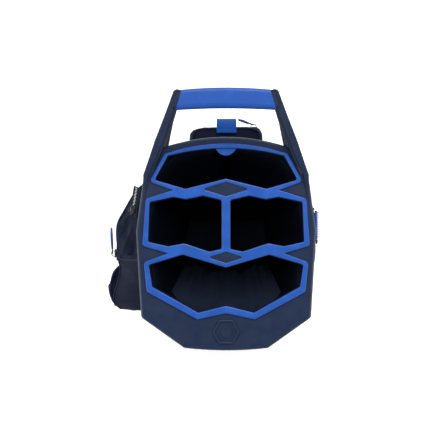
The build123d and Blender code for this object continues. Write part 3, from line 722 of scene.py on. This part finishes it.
def stitch(mesher, surface, path, pitch=0.0038, length=0.0027, radius=0.00032, lift=0.0002):
    """Adds a row of thread stitches along a path on a surface."""
    points, outs = surface.on(evenly(path, pitch / 2), lift)
    for index in range(0, len(points) - 1, 2):
        middle, way = points[index], points[index + 1] - points[index]
        size = np.linalg.norm(way)
        if size < 1e-6 or size > pitch:
            continue
        way = way / size * length / 2
        ends = [middle - way - outs[index] * 0.0004, middle - way * 0.5, middle + way * 0.5,
                middle + way - outs[index] * 0.0004]
        mesher.tube(ends, [radius * 0.7, radius, radius, radius * 0.7], 5)
    return mesher

# ---------------------------------------------------------------- body fabric and sheets, in millimetres

BASE_SHAPE = np.array([(38, -94), (78, -66), (86, 10), (77, 68), (60, 91)], float)
TOP_SHAPE = np.array([(44, -113), (90, -80), (101, 12), (92, 79), (72, 110)], float)
BASE_ARCS = np.array((101.0, -95.0))  # how far its back and front bow out
TOP_ARCS = np.array((123.0, -114.5))
SHAPE_FOOT, SHAPE_TOP = 12.0, 830.0
EDGE_STEPS = (16, 26, 20, 12)
ARC_STEPS = 40
CUP_TOP, SKIRT_BOTTOM = 82.0, 800.0
CORNER_AT = np.cumsum((0, *EDGE_STEPS))


def body_ring(height, inset=0.0):
    """The body's outline at a height, from its front right corner round by the back, its corners eased."""
    share = (height - SHAPE_FOOT) / (SHAPE_TOP - SHAPE_FOOT)
    half = BASE_SHAPE + (TOP_SHAPE - BASE_SHAPE) * share
    back, front = BASE_ARCS + (TOP_ARCS - BASE_ARCS) * share
    right = [half[:1]]
    for start, end, steps in zip(half[:-1], half[1:], EDGE_STEPS):
        right.append(np.linspace(start, end, steps + 1)[1:])
    right = np.concatenate(right)
    left = right[::-1] * (-1, 1)
    ring = np.concatenate([right, bow(half[-1], back), left, bow(half[0], front)[::-1]])
    ring = soften(ring, 10, closed=True)
    if inset:
        ring = ring - outward(ring) * inset
    return np.column_stack([ring, np.full(len(ring), height)])


def bow(corner, middle):
    """A shallow arc from a corner to its mirror image, through (0, middle)."""
    x = np.linspace(corner[0], -corner[0], ARC_STEPS + 1)[1:-1]
    return np.column_stack([x, middle + (corner[1] - middle) * (x / corner[0]) ** 2])


def outward(ring):
    """The way out of a closed ring at each of its points, in plan."""
    run = np.roll(ring, -1, 0) - np.roll(ring, 1, 0)
    run = run[:, :2] / np.linalg.norm(run[:, :2], axis=1)[:, None]
    return np.column_stack([run[:, 1], -run[:, 0]])


def body_wrinkles(ring, height):
    """How far the fabric stands out of its straight shape: long folds, and puckers where it is sewn in."""
    points = ring * MM
    folds = rough(points, 16, 1, (1, 1, 0.22))
    small = rough(points, 42, 2, (1, 1, 0.7))
    to_edge = min(SKIRT_BOTTOM - height, height - CUP_TOP)
    ends = min(1.0, to_edge / 60)
    gather = rough(points, 90, 3, (1, 1, 0.05)) * max(0.0, 1 - to_edge / 45)
    return max(0.0, ends) * (1.3 * folds + 0.45 * small) + 0.35 * gather


# The base's floor rises toward the front, to leave room for the foot plate, and the cloth ends above it
FLOOR_EDGE, FLOOR_SLOPE, FLOOR_BEND = 22.0, 0.6, -40.0
# How far inside the body's outline each layer's two faces are
FABRIC_FACES = (0.1, 1.2)
LINING_FACES = (2.6, 3.4)


def body_fabric():
    """The fabric body, stretched between the collar and the base, with a separate black lining."""
    heights = np.concatenate([[22, 76, 80], np.linspace(84, 798, 110), [806, 818, 827]])
    outer, inner, lining, back = [], [], [], []
    for height in heights:
        ring = body_ring(height)
        ring[:, 2] = np.maximum(height, FLOOR_EDGE + FLOOR_SLOPE * np.maximum(0, FLOOR_BEND - ring[:, 1]))
        out = outward(ring) * body_wrinkles(ring, height)[:, None]
        flat = np.column_stack([outward(ring), np.zeros(len(ring))])
        moved = ring + np.column_stack([out, np.zeros(len(ring))])
        outer.append(moved - flat * FABRIC_FACES[0])
        inner.append(moved - flat * FABRIC_FACES[1])
        lining.append(ring - flat * LINING_FACES[0])
        back.append(ring - flat * LINING_FACES[1])
    shell = Mesher().surface(np.array(outer + inner[::-1] + outer[:1]) * MM, wrap=True)
    fabric = shell.make("body_fabric", "body_fabric", "body_fabric")
    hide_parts("body_shell")
    shell = Mesher().surface(np.array(lining + back[::-1] + lining[:1]) * MM, wrap=True)
    lined = shell.make("body_lining", "liner_fabric", "liner_fabric")


def body_trim():
    """Piping down the body's corners, and a bound edge where the fabric meets the collar and the base."""
    heights = np.linspace(CUP_TOP + 1, SKIRT_BOTTOM + 2, 90)
    rings = np.array([body_ring(height) for height in heights]) * MM
    count = rings.shape[1]
    cords = Mesher()
    for corner in (CORNER_AT[1], CORNER_AT[4]):
        for index in (corner, CORNER_AT[4] * 2 + ARC_STEPS - corner):
            cords.tube(rings[:, index % count], 1.5 * MM, 8)
    cords.make("body_piping", "piping", "body_fabric")
    tape = Mesher()
    thread = Mesher()
    for low, high in ((CUP_TOP - 4, CUP_TOP + 11), (SKIRT_BOTTOM - 11, SKIRT_BOTTOM + 4)):
        lower = [(low, 0.3), (low, -1.1), (low + 1, -1.4)]
        upper = [(high - 1, -1.4), (high, -1.1), (high, 0.3)]
        rows = [body_ring(height, inset) for height, inset in lower + upper + lower[:1]]
        tape.surface(np.array(rows) * MM, wrap=True)
        edge = high - 3 if low < 400 else low + 3
        line = evenly(body_ring(edge, -1.4) * MM, 0.0042, closed=True)
        for start, end in zip(line, np.roll(line, -1, 0)):
            thread.tube([start, start + (end - start) * 0.68], 0.35 * MM, 4)
    tape.make("edge_binding", "piping", "body_fabric")
    thread.make("edge_stitching", "thread", "body_fabric")


def divider(name, node, path, ends):
    """A fabric divider that hangs under a bar of the rims, slack between its sewn edges."""
    heights = np.linspace(24, 829, 80)
    rows = []
    for height in heights:
        share = height / 829
        line = np.array(path, float)
        line[0, 0], line[-1, 0] = (-ends(share), ends(share)) if path[0][0] else (0, 0)
        line = soften(evenly(line, 0, count=56), 3)
        across = sideways(line)
        slack = np.sin(np.linspace(0, math.pi, len(line))) * math.sin(share * math.pi) ** 0.7
        spot = np.column_stack([line, np.full(len(line), height)]) * MM
        line = line + across * (slack * 2.2 * rough(spot, 14, 5, (1, 1, 0.25)))[:, None]
        ring = np.concatenate([line + across * 0.55, (line - across * 0.55)[::-1]])
        rows.append(np.column_stack([ring, np.full(len(ring), height)]))
    sheet = Mesher().surface(np.array(rows) * MM, wrap=True, caps=True)
    sheet = sheet.make(name, "liner_fabric", "liner_fabric")
    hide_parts(node)


SLEEVE_TOP = 575
SLEEVE_DROP = 330
SLEEVE_LEAN = 66  # how far its foot stands in from its top
SLEEVE_ROWS, SLEEVE_COLUMNS = 46, 90


def two_faced(rows, step):
    """A sheet through rows of points in millimetres, with its second face a step behind the first."""
    rows = np.array(rows)
    both = np.concatenate([rows, (rows - step)[:, ::-1]], 1)
    return Mesher().surface(both * MM, wrap=True, caps=True)


def front_sleeve():
    """A slack cloth sleeve on the front wall of the front compartment, which leans in as it goes down."""
    ring = [p for p in body_ring(SLEEVE_TOP, 5.0) if p[1] < -50 and abs(p[0]) < 82]
    ring = np.array(sorted(ring, key=lambda p: p[0]))
    line = evenly(soften(ring, 2), 0, count=SLEEVE_COLUMNS)
    along = np.linspace(-1, 1, len(line))
    rows = []
    for share in np.linspace(0, 1, SLEEVE_ROWS):
        height = SLEEVE_TOP - SLEEVE_DROP * share
        folds = 3.5 * np.cos(along * 11) * share ** 0.5 + 2.0 * np.cos(along * 29 + 1) * share
        inward = (SLEEVE_LEAN * share ** 0.95 + folds) * (1 - 0.35 * np.abs(along) ** 3)
        narrow = 1 - 0.1 * share
        rows.append(np.column_stack([line[:, 0] * narrow, line[:, 1] + inward, np.full(len(line), height)]))
    # Its material is painted paler, as painted light on the deep front wall.
    sleeve = two_faced(rows, (0, 1.0, 0)).make("front_sleeve", "sleeve_fabric_painted_light", "liner_fabric")
    hem = Mesher().tube(rows[0] * MM, 1.6 * MM, 8)
    hem.make("front_sleeve_hem", "piping", "liner_fabric")


def dividers():
    """The sheets under the rims' three bars, and the sleeve in front of them."""
    divider("rear_divider", "rear_sheet", [(-90, 63), (-49, 59.5), (0, 66), (49, 59.5), (90, 63)],
            lambda share: 74.5 + 15.5 * share)
    divider("front_divider", "front_sheet", [(-94, -10.5), (-52, -5.5), (0, -17), (52, -5.5), (94, -10.5)],
            lambda share: 80.5 + 13.5 * share)
    front_sleeve()
    divider("middle_divider", "middle_sheet", [(0, -14.8), (0, 25), (0, 63.5)], None)


# ---------------------------------------------------------------- pockets

RIM_SEAM = 0.0016
APPAREL_OUT, SIDE_OUT, BALL_OUT, SPINE_BACK = 149.5, 119.0, 144.0, 155.5  # the pockets' outer faces


def upright(x, y, low, high):
    return [(x * MM, y * MM, low * MM), (x * MM, y * MM, high * MM)]


def level(plan, height):
    return [(x * MM, y * MM, height * MM) for x, y in plan]


def near_zips(*lines, reach=0.012):
    """Pin weights that keep the cloth flat under its zips."""
    def weights(points):
        near = np.min([distance_to(points, line) for line in lines], 0)
        return np.clip(2.2 - near / reach, 0, 1)
    return weights


def beside_body(points, gap=5.0):
    """Pin weights for the side of a pocket that is sewn to the body."""
    inside = []
    for x, y, z in points / MM:
        ring = body_ring(min(z, SHAPE_TOP))[:, :2]
        inside.append(np.min(np.hypot(ring[:, 0] - x, ring[:, 1] - y)))
    return np.clip(1.6 - np.array(inside) / gap, 0, 1)


def pocket(name, node, seams, zips=(), voxel=0.006, cap=0.007, growth=0.05, stitches=(), folds=0.0016, seed=1,
           shape=None):
    """A pocket: cloth blown up a little from its shape, drawn in at its corded seams, with sewn edges."""
    def held(points):
        weights = beside_body(points)
        if zips:
            weights = np.maximum(weights, near_zips(*zips)(points))
        return weights
    obj = padded_piece(name, node, "pocket_fabric", voxel, 4.0, growth, cap, seams=seams, held=held,
                       folds=folds, seed=seed, shape=shape)
    surface = Surface(obj)
    cords = Mesher()
    thread = Mesher()
    for seam in seams:
        line, _ = surface.on(evenly(seam, 0.005), RIM_SEAM * 0.3)
        cords.tube(soften(line, 4), RIM_SEAM, 8)
    for row in stitches:
        stitch(thread, surface, row)
    cords.make(name + "_piping", "piping", "pocket_fabric")
    if stitches:
        thread.make(name + "_stitching", "thread", "pocket_fabric")
    return obj, surface


def shifted(path, dx=0.0, dy=0.0, dz=0.0):
    return [(x + dx * MM, y + dy * MM, z + dz * MM) for x, y, z in path]


PANEL_SLOPE = 1.2  # the apparel pocket's slanted top, in mm up for each mm inwards


def panel_height(x):
    return 767 + (x + 107) * PANEL_SLOPE


def on_panel(x, y):
    return (x * MM, y * MM, panel_height(x) * MM)


def panel_creases(obj):
    """Creases that fan out across the apparel pocket's slanted top, down from the end of its short zip."""
    points, outs = positions(obj), normals(obj)
    x, y, z = (points / MM).T
    centre_x, centre_y = -112.0, 62.0
    turn = np.arctan2(x - centre_x, centre_y - y)
    reach = np.hypot(x - centre_x, y - centre_y)
    panel = np.clip((outs[:, 2] - 0.3) * 4, 0, 1) * np.clip((z - 690) / 12, 0, 1)
    near_zip = distance_to(points, [on_panel(-116.5, 76), on_panel(-123.5, 37)]) / MM
    depth = 1.5 * np.clip((reach - 22) / 20, 0, 1) * np.clip((near_zip - 9) / 8, 0, 1) * panel
    ridges = np.sin(turn * 17 + reach * 0.02) ** 3
    move_to(obj, points + outs * (ridges * depth * MM)[:, None])


def apparel_pocket():
    """The long pocket on the left, with a slanted top that carries a short metal zip."""
    side = -APPAREL_OUT
    bend = [(side, -22), (side, 32), (-129, 64), (-112, 83)]
    rim = [on_panel(*p) for p in [(-107, -22), *bend, (-107, 83)]]
    foot = level([(-84, -22), *bend, (-84, 83)], 140)
    front = upright(side, -22, 140, panel_height(side))
    rear = upright(-112, 83, 140, panel_height(-112))
    zips = [
        upright(side, 8, 172, 672), [on_panel(-116.5, 76), on_panel(-123.5, 37)],
        [(side * MM, -0.021, 0.69), (side * MM, 0.029, 0.69)],
    ]
    inner = [on_panel(*p) for p in [(-110, -17), (side + 5, -17), (side + 5, 30), (-126, 60), (-110, 78)]]
    rows = [shifted(front, 0, 6), inner, upright(side, -4, 175, 670), upright(side, 20, 175, 670)]
    seams = [rim, foot, front, rear]
    pocket("apparel_pocket_cloth", "apparel_pocket", seams, zips, stitches=rows, folds=0.0022,
           shape=panel_creases)


def bottle_pocket():
    """The open pocket on the left, with an elastic band round its mouth."""
    plan = [
        (-100, -24), (-152, -24), (-162, -40), (-166, -56),
        (-164, -74), (-158, -86), (-128, -93), (-111, -86),
    ]
    corners = [upright(-158, -86, 330, 668), upright(-152, -24, 330, 668)]
    seams = [level(plan, 668), level(plan, 330), *corners]
    rows = [level(plan, 662), level(plan, 336), level(plan, 630), upright(-166, -56, 340, 625)]
    _, surface = pocket("bottle_pocket_cloth", "bottle_pocket", seams, corners, stitches=rows,
                        folds=0.0026, seed=2)
    points, outs = surface.on(evenly(level(plan, 646), 0.004), 0.0003)
    hem = Mesher().band(soften(points, 3), outs, 24 * MM, 1.1 * MM)
    hem = hem.make("bottle_pocket_hem", "black_webbing", "pocket_fabric")
    for height in (637, 655):
        thread = stitch(Mesher(), Surface(hem), level(plan[1:-1], height))
        thread.make("bottle_pocket_hem_stitching_%d" % height, "blue_thread", "pocket_fabric")


HOOD_OUTER = [
    (-147, -14, 716), (-144, -34, 704), (-150, -54, 692),
    (-155, -66, 685), (-156, -80, 680), (-146, -88, 680),
]
HOOD_INNER = [
    (-109, -14, 764), (-108, -40, 752), (-106, -60, 738),
    (-104, -76, 724), (-103, -84, 716), (-102, -89, 712),
]
HOOD_ROWS, HOOD_COLUMNS = 44, 30
HOOD_FOOT = 662  # where its turned-down front edge ends


def bottle_hood():
    """The creased panel that carries the slanted top forward, over the lower pocket's mouth."""
    outer = soften(evenly(HOOD_OUTER, 0, count=HOOD_ROWS), 3)
    inner = soften(evenly(HOOD_INNER, 0, count=HOOD_ROWS), 3)
    rows = []
    for share, near, far in zip(np.linspace(0, 1, HOOD_ROWS), inner, outer):
        row = []
        for step in np.linspace(0, 1, HOOD_COLUMNS):
            crease = math.sin(17 * share + 6 * step) ** 3 * (1 - share) * step
            rise = 5.0 * math.sin(math.pi * step) + 2.2 * crease
            row.append(near + (far - near) * step + (0, 0, rise))
        row += [far + (-0.6, 0, -3), far + (-0.4, 0, -10), far + (1.5, 0, -20)]
        rows.append(np.array(row))
    for drop, back in ((3, -0.6), (9, -0.4), (16, 1.5)):
        edge = rows[HOOD_ROWS - 1] + (0, back, -drop)
        edge[:, 2] = np.maximum(edge[:, 2], HOOD_FOOT)
        rows.append(edge)
    rows = np.array(rows)
    hood = two_faced(rows, (0, 0, 1.1)).make("bottle_pocket_hood", "pocket_fabric", "pocket_fabric")
    seam = rows[:HOOD_ROWS, HOOD_COLUMNS - 1] + (0, 0, 0.4)
    cord = Mesher().tube(seam * MM, 1.2 * MM, 8)
    cord.make("bottle_pocket_hood_piping", "piping", "pocket_fabric")


def side_pocket():
    """The flat pocket on the right, held in along its webbing handle."""
    plan = [(95, -50), (114, -46), (SIDE_OUT, -22), (SIDE_OUT, 48), (112, 60), (96, 62)]
    edges = [upright(SIDE_OUT, -22, 480, 752), upright(SIDE_OUT, 48, 480, 752)]
    seams = [level(plan, 752), level(plan, 480), *edges]
    rows = [level(plan, 746), level(plan, 486)]
    handle = [upright(SIDE_OUT + 1, 26, 595, 750)]
    pocket("side_pocket_cloth", "side_pocket", seams, handle, stitches=rows, cap=0.005, seed=3)


def ball_pocket():
    """The low pocket on the right, with an upright zip."""
    plan = [(85, -58), (133, -50), (BALL_OUT, -14), (BALL_OUT, 40), (133, 66), (90, 71)]
    seams = [level(plan, 430), level(plan, 112), upright(133, -50, 112, 430), upright(133, 66, 112, 430)]
    rows = [level(plan, 424), upright(BALL_OUT, 0, 142, 398), upright(BALL_OUT, 24, 142, 398)]
    zips = [upright(BALL_OUT, 12, 140, 400)]
    pocket("ball_pocket_cloth", "ball_pocket", seams, zips, stitches=rows, folds=0.0022, seed=4)


def spine_pocket():
    """The small pocket high on the back, held in along its zip and under its loop."""
    back = SPINE_BACK
    plan = [(-49, 124), (-49, back - 8), (-41, back), (41, back), (49, back - 8), (49, 124)]
    seams = [level(plan, 770), level(plan, 655)]
    zips = [level([(45, back), (-37, back)], 722), upright(0.7, back + 2, 735, 770)]
    rows = [level(plan, 765), level(plan, 660), level([(-44, back), (44, back)], 733),
            level([(-44, back), (44, back)], 711)]
    pocket("spine_pocket_cloth", "spine_pocket", seams, zips, voxel=0.0045, cap=0.004, stitches=rows,
           folds=0.0008, seed=5)


# ---------------------------------------------------------------- zips


class ZipPlane:
    """Positions along a zip, across it and out of it, in millimetres, turned into places in metres."""

    def __init__(self, origin, along, out):
        self.origin = np.array(origin, float)
        self.along = np.array(along, float) / np.linalg.norm(along)
        self.out = np.array(out, float) / np.linalg.norm(out)
        self.across = np.cross(self.out, self.along)

    def __call__(self, x, y, z):
        return (self.origin + self.along * x + self.across * y + self.out * z) * MM


def zip_tape(name, plane, length, node, metal_teeth=False):
    """Two woven tapes that meet under the teeth, with a row of stitches down each."""
    tape = Mesher()
    thread = Mesher()
    for side in (1, -1):
        section = [(0.3, 0.1), (0.3, 0.75), (1.0, 0.95), (8.6, 0.95), (9.0, 0.6), (9.0, 0.1)]
        rows = [[plane(x, side * y, z) for y, z in section] for x in np.linspace(0, length, 12)]
        tape.surface(rows, wrap=True, caps=True)
        for x in np.arange(1.5, length - 3, 4.0):
            rise = [(0, 0.9), (0.5, 1.15), (2.3, 1.15), (2.8, 0.9)]
            thread.tube([plane(x + run, side * 6.6, z) for run, z in rise], 0.32 * MM, 5)
    cloth = tape.make(name + "_tape", "zip_tape", "zip_fabric")
    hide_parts(node)
    thread.make(name + "_tape_stitching", "thread", "zip_fabric")
    teeth = Mesher()
    pitch, reach, high = (2.2, 2.6, 2.3) if metal_teeth else (1.7, 2.3, 2.0)
    for index in range(int((length - 4) / pitch)):
        x = 2 + index * pitch
        side = 1 if index % 2 else -1
        near, far = -0.9 * side, reach * side
        wide = pitch * 0.42
        rows = []
        for z, narrow in ((0.8, 0.0), (high * 0.8, 0.0), (high, 0.3)):
            left, right, tip = x - wide + narrow, x + wide - narrow, far - side * narrow
            corners = [(left, near), (right, near), (right, tip), (left, tip)]
            rows.append([plane(*corner, z) for corner in corners])
        teeth.surface(rows, wrap=True, caps=True)
    looks = ("silver_metal", "zip_silver") if metal_teeth else ("zip_coil", "zip_fabric")
    teeth.make(name + "_teeth", *looks, smooth=False)


def zip_slider(name, plane, place):
    """A slider with a waisted body, a guide on each side and a bridge for its pull."""
    steps = [2 * math.pi * k / 24 for k in range(24)]
    outline = [(place + 6.2 * math.cos(a), 4.3 * math.sin(a) * (1 - 0.16 * math.cos(a))) for a in steps]
    body = Mesher().prism(outline, 2.45, 4.2, plane, bevel=0.5, dome=0.7)
    for side in (1, -1):
        rail = [(-5, 3.9), (0, 4.35), (5, 3.5)]
        body.tube([plane(place + x, side * y, 2.6) for x, y in rail], 0.7 * MM, 6)
    arch = [(-4.2, 4.0), (-3.9, 6.2), (-2.6, 8.2), (0, 8.9), (2.4, 8.4), (3.2, 6.6), (3.3, 4.4)]
    arch = soften(evenly(arch, 0.7), 2)
    bridge = [plane(place + x, 0, z) for x, z in arch]
    body.band(bridge, [plane.across] * len(arch), 1.0 * MM, 2.2 * MM, 0.3 * MM)
    obj = body.make(name + "_slider_body", "slider_metal", "slider_metal", name + "_slider")
    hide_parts(name + "_slider")


def zip_pull(name, plane, place, length, lift):
    """A wire link on the bridge, and a moulded lens-shaped tag, which stands a little off the zip."""
    def raised(x, y, z):
        angle = math.radians(lift)
        run, high = x - place, z - 7.6
        return plane(place + run * math.cos(angle) - high * math.sin(angle), y,
                     7.6 + run * math.sin(angle) + high * math.cos(angle))
    link = [(0.0, -2.6), (3.0, -2.9), (7.5, -2.4), (9.2, 0), (7.5, 2.4), (3.0, 2.9), (0.0, 2.6)]
    link = soften(evenly(link, 0.8), 2)
    wire = Mesher().tube([raised(place + x, y, 7.6) for x, y in link], 0.62 * MM, 8)
    wire.tube([raised(place, -2.9, 7.6), raised(place, 2.9, 7.6)], 0.75 * MM, 8)
    wire.make(name + "_pull_link", "slider_metal", "slider_metal", name + "_pull")
    steps = np.linspace(0, 2 * math.pi, 36, endpoint=False)
    middle, half = (place + 5.5 + place + length) / 2, (length - 5.5) / 2
    lens = [math.copysign(abs(math.sin(a)) ** 0.85, math.sin(a)) for a in steps]
    outline = [(middle + half * math.cos(a), 4.9 * bulge) for a, bulge in zip(steps, lens)]
    tag = Mesher().prism(outline, 6.3, 8.6, raised, bevel=0.7, dome=0.8)
    tag = tag.make(name + "_pull_tag", "pull_rubber", "pull_rubber", name + "_pull")
    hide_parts(name + "_pull")


ZIPS = {
    # name: (origin, along, out, length, where its slider stands, its pull's length)
    "spine": ((45, SPINE_BACK, 722), (-1, 0, 0), (0, 1, 0), 82, 8, 22),
    "phone": ((-APPAREL_OUT, -21, 690), (0, 1, 0), (-1, 0, 0), 50, 10, 36),
    "valuables": (
        (-116.5, 76, panel_height(-116.5)), (-7, -39, -7 * PANEL_SLOPE), (-PANEL_SLOPE, 0, 1), 40, 31, None,
    ),
    "apparel": ((-APPAREL_OUT, 8, 672), (0, 0, -1), (-1, 0, 0), 500, 488, 30),
    "ball": ((BALL_OUT, 12, 400), (0, 0, -1), (1, 0, 0), 260, 12, 30),
}


def zip_fasteners():
    """Each zip's tapes, teeth and slider, and its pull where it has a moulded one."""
    for name, (origin, along, out, length, place, pull) in ZIPS.items():
        plane = ZipPlane(origin, along, out)
        zip_tape(name, plane, length, name + "_zip", metal_teeth=name == "valuables")
        zip_slider(name, plane, place)
        if pull:
            zip_pull(name, plane, place, pull, 20 if name == "spine" else 3)


# ---------------------------------------------------------------- webbing, straps and hip pad

BACK_SLOPE = np.array((0, 22.0, 818.0)) / math.hypot(22, 818)
BACK_OUT = np.array((0, 818.0, -22.0)) / math.hypot(22, 818)


def on_back(x, y, out):
    """A place on the bag's back, in millimetres to the left, up and out of it, in metres."""
    return (np.array((0, 101.0, 12.0)) + np.array((-x, 0, 0)) + BACK_SLOPE * y + BACK_OUT * out) * MM


def spine_loop():
    """The folded webbing loop on the spine pocket, and the stitches that hold it."""
    path = [(SPINE_BACK + 0.8, 737), (161, 743), (165.2, 751), (165.2, 763), (160, 771.6), (146, 771.6)]
    path = soften(evenly(path, 1.5), 5)
    centre = 0.7
    points = [(centre * MM, y * MM, z * MM) for y, z in path]
    run = np.gradient(path, axis=0)
    outs = [(0, -b, a) for a, b in run]
    band = Mesher().band(points, np.array(outs) * -1, 26 * MM, 2.2 * MM, 0.5 * MM)
    loop = band.make("spine_webbing", "blue_webbing", "blue_webbing")
    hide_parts("spine_loop")
    tack = Mesher()
    for row in range(3):
        for column in range(10):
            x = centre - 11 + column * 2.4
            y = 149.5 + row * 2.2
            tack.tube([(x * MM, y * MM, 0.7729), ((x + 1.5) * MM, (y + 0.6) * MM, 0.7729)], 0.35 * MM, 5)
    tack.make("spine_webbing_stitching", "blue_thread", "blue_webbing")


def side_webbing():
    """A wide webbing handle sewn to the right-hand pocket at both ends."""
    path = [(SIDE_OUT, 744), (122, 732), (123.6, 700), (123.6, 645), (121.8, 613), (SIDE_OUT, 601)]
    path = soften(evenly(path, 4), 3)
    run = np.gradient(path, axis=0)
    points = [(x * MM, 26.5 * MM, z * MM) for x, z in path]
    outs = [(-b, 0, a) for a, b in run]
    strap = Mesher().band(points, outs, 38 * MM, 1.9 * MM).make("side_strap", "blue_webbing", "blue_webbing")
    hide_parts("side_webbing")
    tack = Mesher()
    for height in (738, 733, 611, 606):
        for y in np.arange(10, 43, 3.2):
            tack.tube([(0.1232, y * MM, height * MM), (0.1232, (y + 2) * MM, height * MM)], 0.35 * MM, 5)
    tack.make("side_strap_stitching", "thread", "blue_webbing")


def hip_pad():
    """The padded panel that rests against the golfer's back, with sewn channels across it."""
    channels = [[on_back(-50, y, 16), on_back(50, y, 16)] for y in (345, 385, 425, 465, 505)]
    corner = 26
    outline = rounded_rectangle(0, 425, 112, 250, corner)
    rim = [on_back(x, y, 13) for x, y in outline]
    obj = padded_piece("hip_cushion", "hip_pad", "air_mesh", 0.005, 4, 0.02, 0.006, 0.0025,
                       seams=channels, seam_pull=0.0035, held=beside_body)
    surface = Surface(obj)
    line, _ = surface.on(evenly(rim, 0.004, closed=True), 0.0005)
    trim = Mesher().tube(soften(line, 4, closed=True), 0.0022, 8, closed=True)
    trim.make("hip_cushion_piping", "piping", "strap_fabric")
    thread = Mesher()
    for channel in channels:
        stitch(thread, surface, channel)
    thread.make("hip_cushion_stitching", "blue_thread", "strap_fabric")


def rounded_rectangle(x, y, width, height, corner):
    """Points round a rectangle with rounded corners."""
    points = []
    for quarter, (sx, sy) in enumerate(((1, 1), (-1, 1), (-1, -1), (1, -1))):
        for step in range(9):
            angle = math.radians(90 * quarter + step * 11.25)
            points.append((x + sx * (width / 2 - corner) + corner * math.cos(angle),
                           y + sy * (height / 2 - corner) + corner * math.sin(angle)))
    return points


STRAP_PATH = [(14, 612), (34, 540), (44, 430), (42, 320), (31, 235)]
PAD_WIDTH, PAD_OUT, PAD_THICK = 52.0, 16.0, 13.0


def strap_line(count=60):
    """The middle of a strap pad on the back: a smooth line through the path's points."""
    path = np.array(STRAP_PATH, float)
    knots = np.concatenate([[0], np.cumsum(np.linalg.norm(np.diff(path, axis=0), axis=1))])
    at = np.linspace(0, knots[-1], count)
    return np.column_stack([np.polyval(np.polyfit(knots, path[:, k], 4), at) for k in (0, 1)])


def carrying_strap(name, side):
    """One padded shoulder strap: a bound edge, a webbing down its middle, and a loose end to the anchor."""
    line = strap_line()
    across = sideways(line)
    edges = []
    for edge in (-1, 1):
        border = line + across * edge * (PAD_WIDTH / 2 - 1)
        border[:, 0] = np.maximum(border[:, 0], 1.0)
        edges.append(border)
    loop = np.concatenate([edges[0], edges[1][::-1]])
    rim = [on_back(side * x, y, PAD_OUT + PAD_THICK / 2) for x, y in loop]
    face = PAD_OUT + PAD_THICK
    groove = [[on_back(side * x, y, face) for x, y in line + across * offset] for offset in (-15, 15)]
    pad = padded_piece("strap_cushion_" + name, "strap_pad_" + name, "strap_cloth", 0.0045, 4, 0.02, 0.004,
                       0.0015, seams=groove, seam_pull=0.0022)
    surface = Surface(pad)
    path, _ = surface.on(evenly(rim, 0.004, closed=True), 0.0003)
    trim = Mesher().tube(soften(path, 6, closed=True), 0.002, 8, closed=True)
    trim.make("strap_binding_" + name, "piping", "strap_fabric")
    thread = Mesher()
    for row in groove:
        stitch(thread, surface, row[2:-2])
    thread.make("strap_stitching_" + name, "blue_thread", "strap_fabric")
    middle = [on_back(side * x, y, face) for x, y in line[3:-2]]
    points, _ = surface.on(evenly(middle, 0.006), 0.0006)
    tape = Mesher().band(soften(points, 6), BACK_OUT, 19 * MM, 1.4 * MM)
    tape.make("strap_tape_" + name, "black_webbing", "black_webbing")
    loose = [(32, 243, 22.6), (28, 220, 23.2), (24, 199, 23.2), (19, 165, 23), (14, 133, 23)]
    points = soften(evenly([on_back(side * x, y, out) for x, y, out in loose], 0.004), 3)
    tail = Mesher().band(points, BACK_OUT, 24.6 * MM, 1.6 * MM)
    tail = tail.make("strap_tail_" + name, "black_webbing", "black_webbing")
    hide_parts("strap_webbing_" + name)


def strap_anchor():
    """The sewn block low on the back that both straps end in."""
    outline = rounded_rectangle(0, 140, 60, 26, 6)
    block = Mesher().prism(outline, 0.5, 21.5, on_back, bevel=3.0, dome=1.2)
    patch = block.make("anchor_patch", "strap_cloth", "black_webbing")
    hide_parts("strap_anchor")
    thread = Mesher()
    box_and_cross = ((-24, 131, 24, 131), (-24, 149, 24, 149), (-24, 131, 24, 149), (-24, 149, 24, 131))
    for x0, y0, x1, y1 in box_and_cross:
        for share in np.linspace(0, 0.94, 15):
            start, end = np.array((x0, y0)), np.array((x1, y1))
            a = start + (end - start) * share
            b = start + (end - start) * (share + 0.042)
            thread.tube([on_back(*a, 23.2), on_back(*b, 23.2)], 0.35 * MM, 5)
    thread.make("anchor_stitching", "blue_thread", "black_webbing")


# ---------------------------------------------------------------- hard parts, as the frame has them

BEVELS = {
    # slot: width of the softened edge in metres
    "collar_plastic": 0.0008, "rim_rubber": 0.0018, "base_plastic": 0.001, "black_plastic": 0.0006,
    "hinge_steel": 0.0003, "tread_rubber": 0.0006, "rivet_metal": 0.0004,
}


def finish_hard_parts():
    """Every shown node keeps its shape, with a procedural material, and softened edges where its slot has a
    bevel width.
    """
    for part in frame["record"]["subparts"]:
        slot = part["material_slot"]
        obj = nodes[part["node"]]
        obj.data.materials.clear()
        obj.data.materials.append(MATERIALS.get(slot, MATERIALS["black_plastic"]))
        if slot in BEVELS:
            soften_edges(obj, BEVELS[slot])


def soften_edges(obj, width):
    """Rounds a part's sharp edges to a width, once its doubled points are joined."""
    weld = obj.modifiers.new("weld", "WELD")
    weld.merge_threshold = 1e-5
    bevel = obj.modifiers.new("bevel", "BEVEL")
    bevel.width = width
    bevel.segments = 3
    bevel.limit_method = "ANGLE"
    bevel.angle_limit = math.radians(40)
    bevel.harden_normals = True


add_camera()
add_studio()
finish_hard_parts()
body_fabric()
body_trim()
dividers()
apparel_pocket()
bottle_pocket()
bottle_hood()
side_pocket()
ball_pocket()
spine_pocket()
zip_fasteners()
spine_loop()
side_webbing()
hip_pad()
for strap_name, strap_side in (("left", 1), ("right", -1)):
    carrying_strap(strap_name, strap_side)
strap_anchor()
